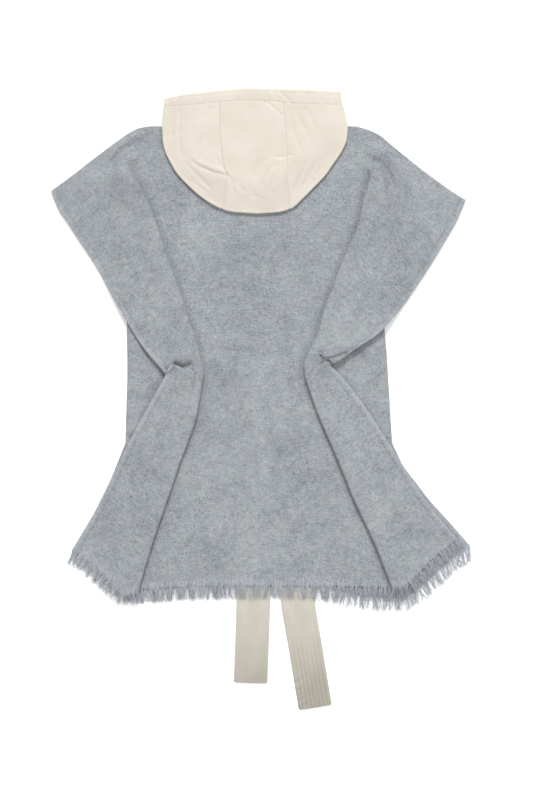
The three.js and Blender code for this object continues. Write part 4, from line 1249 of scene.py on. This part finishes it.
# The channel's rim and its seam: their drops, by the place across.
MOUTH = table(
    "at rim seam",
    (-168, -50, -37),
    (-130, -57, -39),
    (-97, -61, -41.5),
    (-68, -64, -44.5),
    (-17, -68, -47.5),
    (17, -67, -46.5),
    (66, -66, -42),
    (158, -62, -40),
)
HOOD_BASE = BACK_Z + WOOL / 2 + GAP + NYLON / 2
HOOD_EDGE = SimpleNamespace(rise=5.5, run=10)
HOOD_TOP = SimpleNamespace(rise=1.4, run=2.0, crown=10, spread=55)
EDGE_SEAM = SimpleNamespace(inset=6.0, depth=0.3, width=1.0)
HOOD_SEAM_END = 142.4  # drop where the panels' seams end
HOOD_TURN_IN = 13  # how far the nylon comes back under at the mouth
NECK = SimpleNamespace(start=-10, end=26)  # drops between which the underside closes
HOOD_CREASES = [
    crease(-1.3, 4.1, (-137, -34), (-139, 8), (-137, 39), (-130, 58), fade_in=0.05),
    crease(-0.8, 3.4, (-148, -30), (-151, 8), (-147, 36), fade_in=0.05, fade_out=0.5),
    crease(-0.8, 3.9, (-112, -34), (-117, 0), (-114, 34), fade_in=0.05, fade_out=0.6),
    crease(-1.2, 3.9, (-84, -38), (-88, 0), (-93, 20), (-100, 36), fade_in=0.05, fade_out=0.4),
    crease(0.8, 4.6, (-94, -20), (-100, 10), (-108, 30)),
    crease(1.2, 4.1, (-126, 42), (-104, 61), (-78, 73), (-52, 80), fade_in=0.4, fade_out=0.03),
    crease(-1.4, 3.0, (-128, 50), (-104, 68), (-78, 79), (-50, 85), fade_in=0.5, fade_out=0.03),
    crease(-1.1, 3.4, (-134, 56), (-112, 78), (-90, 100), (-76, 118), fade_in=0.3),
    crease(-0.7, 3.0, (-124, 88), (-104, 104), (-84, 118)),
    crease(-1.2, 2.8, (-78, 44), (-66, 68), (-55, 82), fade_in=0.4, fade_out=0.05),
    crease(-1.1, 3.4, (-53, 84), (-44, 96), (-40, 124), fade_in=0.1),
    crease(-1.0, 3.7, (-32, 86), (-35, 100), (-22, 116)),
    crease(-0.9, 4.1, (-5, 68), (-8, 100), (-5, 138)),
    crease(-0.7, 3.4, (-16, 104), (-8, 118), (10, 128)),
    crease(-1.1, 3.7, (14, 54), (-1, 73), (-6, 94), fade_in=0.1),
    crease(-1.3, 3.7, (32, 62), (17, 82), (8, 100), (12, 120), fade_in=0.1),
    crease(-1.0, 3.2, (40, 66), (28, 86), (22, 106), (26, 128)),
    crease(-1.2, 2.3, (24, 50), (39, 53), (50, 50), (68, 47), fade_in=0.2),
    crease(0.7, 3.4, (26, 56), (38, 59), (48, 57)),
    crease(-1.5, 2.8, (12, -46), (19, -42), (34, -29), (45, -17), fade_in=0.02, fade_out=0.2),
    crease(-0.9, 2.8, (46, -12), (53, 4), (50, 20)),
    crease(-1.1, 3.9, (54, -36), (62, 8), (74, 36), (80, 70), fade_in=0.05, fade_out=0.4),
    crease(-1.1, 4.1, (62, -36), (86, 10), (100, 40), fade_in=0.05, fade_out=0.4),
    crease(-1.0, 4.4, (80, -36), (104, 2), (119, 34), fade_in=0.05, fade_out=0.4),
    crease(-0.7, 4.1, (112, -36), (130, 0), (138, 30), fade_in=0.05, fade_out=0.4),
    crease(-1.4, 3.4, (90, 52), (78, 76), (68, 98), (62, 126)),
    crease(-1.1, 3.7, (108, 48), (96, 72), (84, 96), (76, 114)),
    crease(0.8, 3.9, (84, 62), (72, 84), (64, 104)),
    crease(-0.9, 3.0, (66, 56), (58, 78), (56, 96)),
    crease(-0.7, 3.9, (124, 44), (112, 68), (100, 88)),
]
BAND_CREASES = [
    crease(-1.3, 2.5, (-84, -66), (-91, -48), (-99, -36), fade_in=0.02, fade_out=0.02),
    crease(-1.5, 2.5, (10, -72), (14, -62), (20, -46), fade_in=0.02, fade_out=0.02),
    crease(-1.2, 2.5, (34, -68), (52, -50), (64, -38), fade_in=0.2, fade_out=0.02),
    crease(-0.6, 3.0, (112, -58), (116, -50), (122, -38), fade_in=0.3, fade_out=0.02),
    crease(-0.7, 2.5, (-138, -60), (-140, -48), (-146, -34), fade_in=0.02, fade_out=0.02),
    crease(-0.6, 2.5, (-118, -60), (-121, -48), (-124, -34), fade_in=0.02, fade_out=0.02),
]
SEAM_FOLD = 6.0  # width of the pressed seam allowance beside a seam
PANEL_SEAM = SimpleNamespace(width=1.2, side=0.9, centre=1.1, fold=0.55, fade=0.2)
HOOD_CELLS = SimpleNamespace(
    side_rows=110, side_top=80, side_under=16, across=84, top=130, under=22, band=300, band_rows=12
)
CROWD = 1.6  # the points lie closer together where a panel turns under
EVEN_SHARE = 0.4  # of the middle panel's columns, which are otherwise closer beside its seams
HOOD_CALM = 9  # the creases have their full depth this far in from the outline
HOOD_WAVE = SimpleNamespace(height=0.8, across=3.0, down=1.6, seed=4)
CHANNEL = SimpleNamespace(lift=0.9, ripple=0.4, top=-60, end=-44)
CHANNEL_STITCH = SimpleNamespace(depth=0.5, at=0.25, width=0.06)
RIPPLE = SimpleNamespace(step=0.55, swing=2.2, swing_step=0.11, slant=1.4)
HALVINGS = 26

WIDEST = HOOD[3]["at"]
hood_row = reader(HOOD)
mouth = reader(MOUTH)


def hood_width(x, drop):
    """How far out the outline is, on the side of x."""
    row = hood_row(drop)
    return np.where(x < 0, row.left, row.right)


def crown_drop(x):
    """The drop at which the outline passes a distance out, on its way in to the crown."""
    low = np.full(np.shape(x), float(WIDEST))
    high = np.full(np.shape(x), float(HOOD[-1]["at"]))
    for _ in range(HALVINGS):
        middle = (low + high) / 2
        outside = hood_width(x, middle) > np.abs(x)
        low = np.where(outside, middle, low)
        high = np.where(outside, high, middle)
    return low


def hood_inset(x, drop):
    """About how far in from the outline a place is."""
    sideways = np.maximum(hood_width(x, drop) - np.abs(x), 0)
    down = np.maximum(crown_drop(x) - drop, 0)
    return sideways * down / np.maximum(np.hypot(sideways, down), 1e-9)


def rounded(share):
    """The height of a quarter circle at a share of its run."""
    return np.sqrt(1 - (1 - np.clip(share, 0, 1)) ** 2)


def hood_points(x, drop, creases):
    """The hood's top where creases are given, and its underside where there are none."""
    inside = hood_inset(x, drop)
    edge = HOOD_BASE + HOOD_EDGE.rise
    if creases is None:
        z = edge - HOOD_EDGE.rise * rounded(inside / HOOD_EDGE.run)
    else:
        z = edge + HOOD_TOP.rise * rounded(inside / HOOD_TOP.run)
        z = z + HOOD_TOP.crown * smooth(0, HOOD_TOP.spread, inside)
        full = smooth(0, HOOD_CALM, inside)
        wave = waved(x * HOOD_WAVE.across, drop * HOOD_WAVE.down, HOOD_WAVE.seed)
        z = z + creased(np.stack([x, drop], axis=-1), creases) * full
        z = z + HOOD_WAVE.height * wave * full
        seam = bell(inside - EDGE_SEAM.inset, EDGE_SEAM.width) * (drop > WIDEST)
        z = z - EDGE_SEAM.depth * seam
    return np.stack([x, -drop, z], axis=-1)


def hood_side(sign):
    """A side panel: over the top from its seam to the outline, and back under."""
    cells = HOOD_CELLS
    start = HOOD[1]["at"]

    def seam_at(drop):
        row = hood_row(drop)
        return (row.seam_left if sign < 0 else row.seam_right) + GAP

    def panel_row(share):
        def drop_at(out):
            return mix(mouth(sign * out).seam + GAP, HOOD_SEAM_END, share)

        seam = seam_at(drop_at(seam_at(start)))
        edge = float(hood_width(sign, drop_at(float(hood_width(sign, start)))))
        closes = smooth(NECK.start, NECK.end, drop_at(edge))
        depth = min(mix(HOOD_TURN_IN, edge - seam, closes), edge - seam)
        out = edge - (edge - seam) * (1 - np.linspace(0, 1, cells.side_top + 1)) ** CROWD
        top = hood_points(sign * out, drop_at(out), HOOD_CREASES)
        top[:, 2] -= PANEL_SEAM.side * bell(out - seam, PANEL_SEAM.width)
        out = edge - depth * np.linspace(0, 1, cells.side_under + 1)[1:] ** CROWD
        under = hood_points(sign * out, drop_at(out), None)
        return np.concatenate([top, under])[::sign]

    return np.array([panel_row(share) for share in np.linspace(0, 1, cells.side_rows + 1)])


def hood_centre():
    """The middle panel: from the channel over the crown, and back under to the neck."""
    cells = HOOD_CELLS
    share = 0.5 - 0.5 * np.cos(np.linspace(0, math.pi, cells.across + 1))
    share = mix(share, np.linspace(0, 1, cells.across + 1), EVEN_SHARE)

    def across(drop):
        row = hood_row(drop)
        return mix(-row.seam_left, row.seam_right, share)

    start = mouth(across(np.full(share.shape, float(HOOD[1]["at"])))).seam + GAP
    end = crown_drop(across(np.full(share.shape, float(HOOD_SEAM_END))))
    rows = []
    for s in np.linspace(0, 1, cells.top + 1):
        drop = mix(start, end, 1 - (1 - s) ** CROWD)
        x = across(drop)
        row = hood_points(x, drop, HOOD_CREASES)
        seam = np.minimum(x - x[0], x[-1] - x)
        fold = PANEL_SEAM.fold * (1 - smooth(SEAM_FOLD - 1, SEAM_FOLD + 1, seam))
        dip = PANEL_SEAM.centre * bell(seam, PANEL_SEAM.width)
        row[:, 2] += (fold - dip) * smooth(0, PANEL_SEAM.fade, 1 - s)
        rows.append(row)
    for s in np.linspace(0, 1, cells.under + 1)[1:]:
        drop = mix(end, NECK.end, s**CROWD)
        rows.append(hood_points(across(drop), drop, None))
    return np.array(rows)


def hood_band():
    """The channel: a doubled band round the mouth, gathered by the cord inside it."""
    cells = HOOD_CELLS
    places = np.arange(-cells.side_under, cells.band + cells.side_under + 1)
    swing = np.sin(np.clip(places / (cells.band // 2) - 1, -1, 1) * math.pi / 2)
    past = np.maximum(np.maximum(-places, places - cells.band), 0) / cells.side_under
    sign = np.where(swing < 0, -1, 1)
    rows = []
    for share in np.linspace(0, 1, cells.band_rows + 1):
        edge = hood_width(sign, mix(CHANNEL.top, CHANNEL.end, share))
        x = swing * edge - sign * HOOD_TURN_IN * past**CROWD
        at = mouth(x)
        drop = mix(at.rim, at.seam - GAP / 2, share)
        top = hood_points(x, drop, HOOD_CREASES[:1])
        swung = RIPPLE.swing * np.sin(x * RIPPLE.swing_step)
        ripple = CHANNEL.ripple * np.sin(x * RIPPLE.step + swung + share * RIPPLE.slant)
        full = np.sin(math.pi * share)
        top[:, 2] += creased(np.stack([x, drop], axis=-1), BAND_CREASES)
        top[:, 2] += CHANNEL.lift * abs(full) ** 0.5 + ripple * full
        stitch = bell(share - CHANNEL_STITCH.at, CHANNEL_STITCH.width)
        top[:, 2] -= CHANNEL_STITCH.depth * stitch
        under = hood_points(x, drop, None)
        rows.append(np.where((past > 0)[:, None], under, top))
    return np.array(rows)


def make_hood(material):
    """The hood's pieces. Each one's cut rectangle and own area, in metres, are listed but not used.
    """
    pieces = {
        "hood_left": (hood_side(-1), (0.15, 0.24), 0.0275),
        "hood_centre": (hood_centre(), (0.13, 0.31), 0.037),
        "hood_right": (hood_side(1), (0.15, 0.24), 0.0275),
        "hood_band": (hood_band(), (0.36, 0.023), 0.0078),
    }
    for name, (points, flat, area) in pieces.items():
        wall = NYLON / 2
        piece = sheet_mesh(name + "_cloth", points, wall, wall)
        finish_piece(piece, material, "nylon", name)


# ---- Everything together ----
wool = wool_cloth("blanket wool")
yarn = fringe_yarn("fringe yarn")
nylon = hood_nylon("hood nylon")
webbing = tie_webbing("tie webbing")

back, back_grid = make_back(wool)
fronts = {side: make_front("front_" + side, sign, wool) for side, sign in SIDES.items()}
fringes = make_fringes(back_grid, yarn)
make_ties(webbing)
make_hood(nylon)


# ---- The floor, the light and the camera ----
FLOOR_REACH = 8.0


def make_floor():
    finish = Finish("pale floor")
    slow = finish.noise(2, 2, 1.0, 0.5)
    base = finish.ramp(slow, (0.0, (0.91, 0.91, 0.91, 1)), (1.0, (0.93, 0.93, 0.93, 1)))
    glow = {"Emission_Color": (1, 1, 1, 1), "Emission_Strength": 0.2}  # a faintly lit table
    material = finish.done(Base_Color=base, Roughness=0.9, Specular_IOR_Level=0.1, **glow)
    mesh = bpy.data.meshes.new("floor")
    corners = [(-1, -1), (1, -1), (1, 1), (-1, 1)]
    places = [(x * FLOOR_REACH, y * FLOOR_REACH, 0) for x, y in corners]
    mesh.from_pydata(places, [], [(0, 1, 2, 3)])
    mesh.uv_layers.new(name="cloth")
    mesh.materials.append(material)
    floor = bpy.data.objects.new("floor", mesh)
    bpy.context.scene.collection.objects.link(floor)


def make_light(name, size, power, place, target=(0, 0, 0)):
    data = bpy.data.lights.new(name, "AREA")
    data.shape = "DISK"
    data.size = size
    data.energy = power
    light = bpy.data.objects.new(name, data)
    light.location = place
    light.rotation_euler = (Vector(target) - Vector(place)).to_track_quat("-Z", "Y").to_euler()
    bpy.context.scene.collection.objects.link(light)


def make_world(strength):
    world = bpy.data.worlds.new("studio")
    world.use_nodes = True
    background = world.node_tree.nodes["Background"]
    background.inputs["Color"].default_value = (1, 1, 1, 1)
    background.inputs["Strength"].default_value = strength
    bpy.context.scene.world = world


VIEW_CENTRE = (15, 479.5)  # out and drop
VIEW_HEIGHT = 1410.4
CAMERA_HEIGHT = 9000


def make_camera():
    data = bpy.data.cameras.new("camera")
    data.sensor_width = 36
    data.lens = data.sensor_width * CAMERA_HEIGHT / VIEW_HEIGHT
    camera = bpy.data.objects.new("camera", data)
    x = MIDDLE_X + VIEW_CENTRE[0]
    y = SHOULDER_Y - VIEW_CENTRE[1]
    camera.location = (x * MM, y * MM, CAMERA_HEIGHT * MM)
    bpy.context.scene.collection.objects.link(camera)
    bpy.context.scene.camera = camera


make_floor()
make_world(0.5)
make_light("left soft box", 1.2, 13, (-2.0, -0.5, 2.4))
make_light("right soft box", 1.2, 21, (2.0, -0.4, 2.4))
make_light("top soft box", 2.6, 560, (0.0, 6.5, 7.0))
make_camera()
bpy.context.scene.view_settings.view_transform = "Standard"
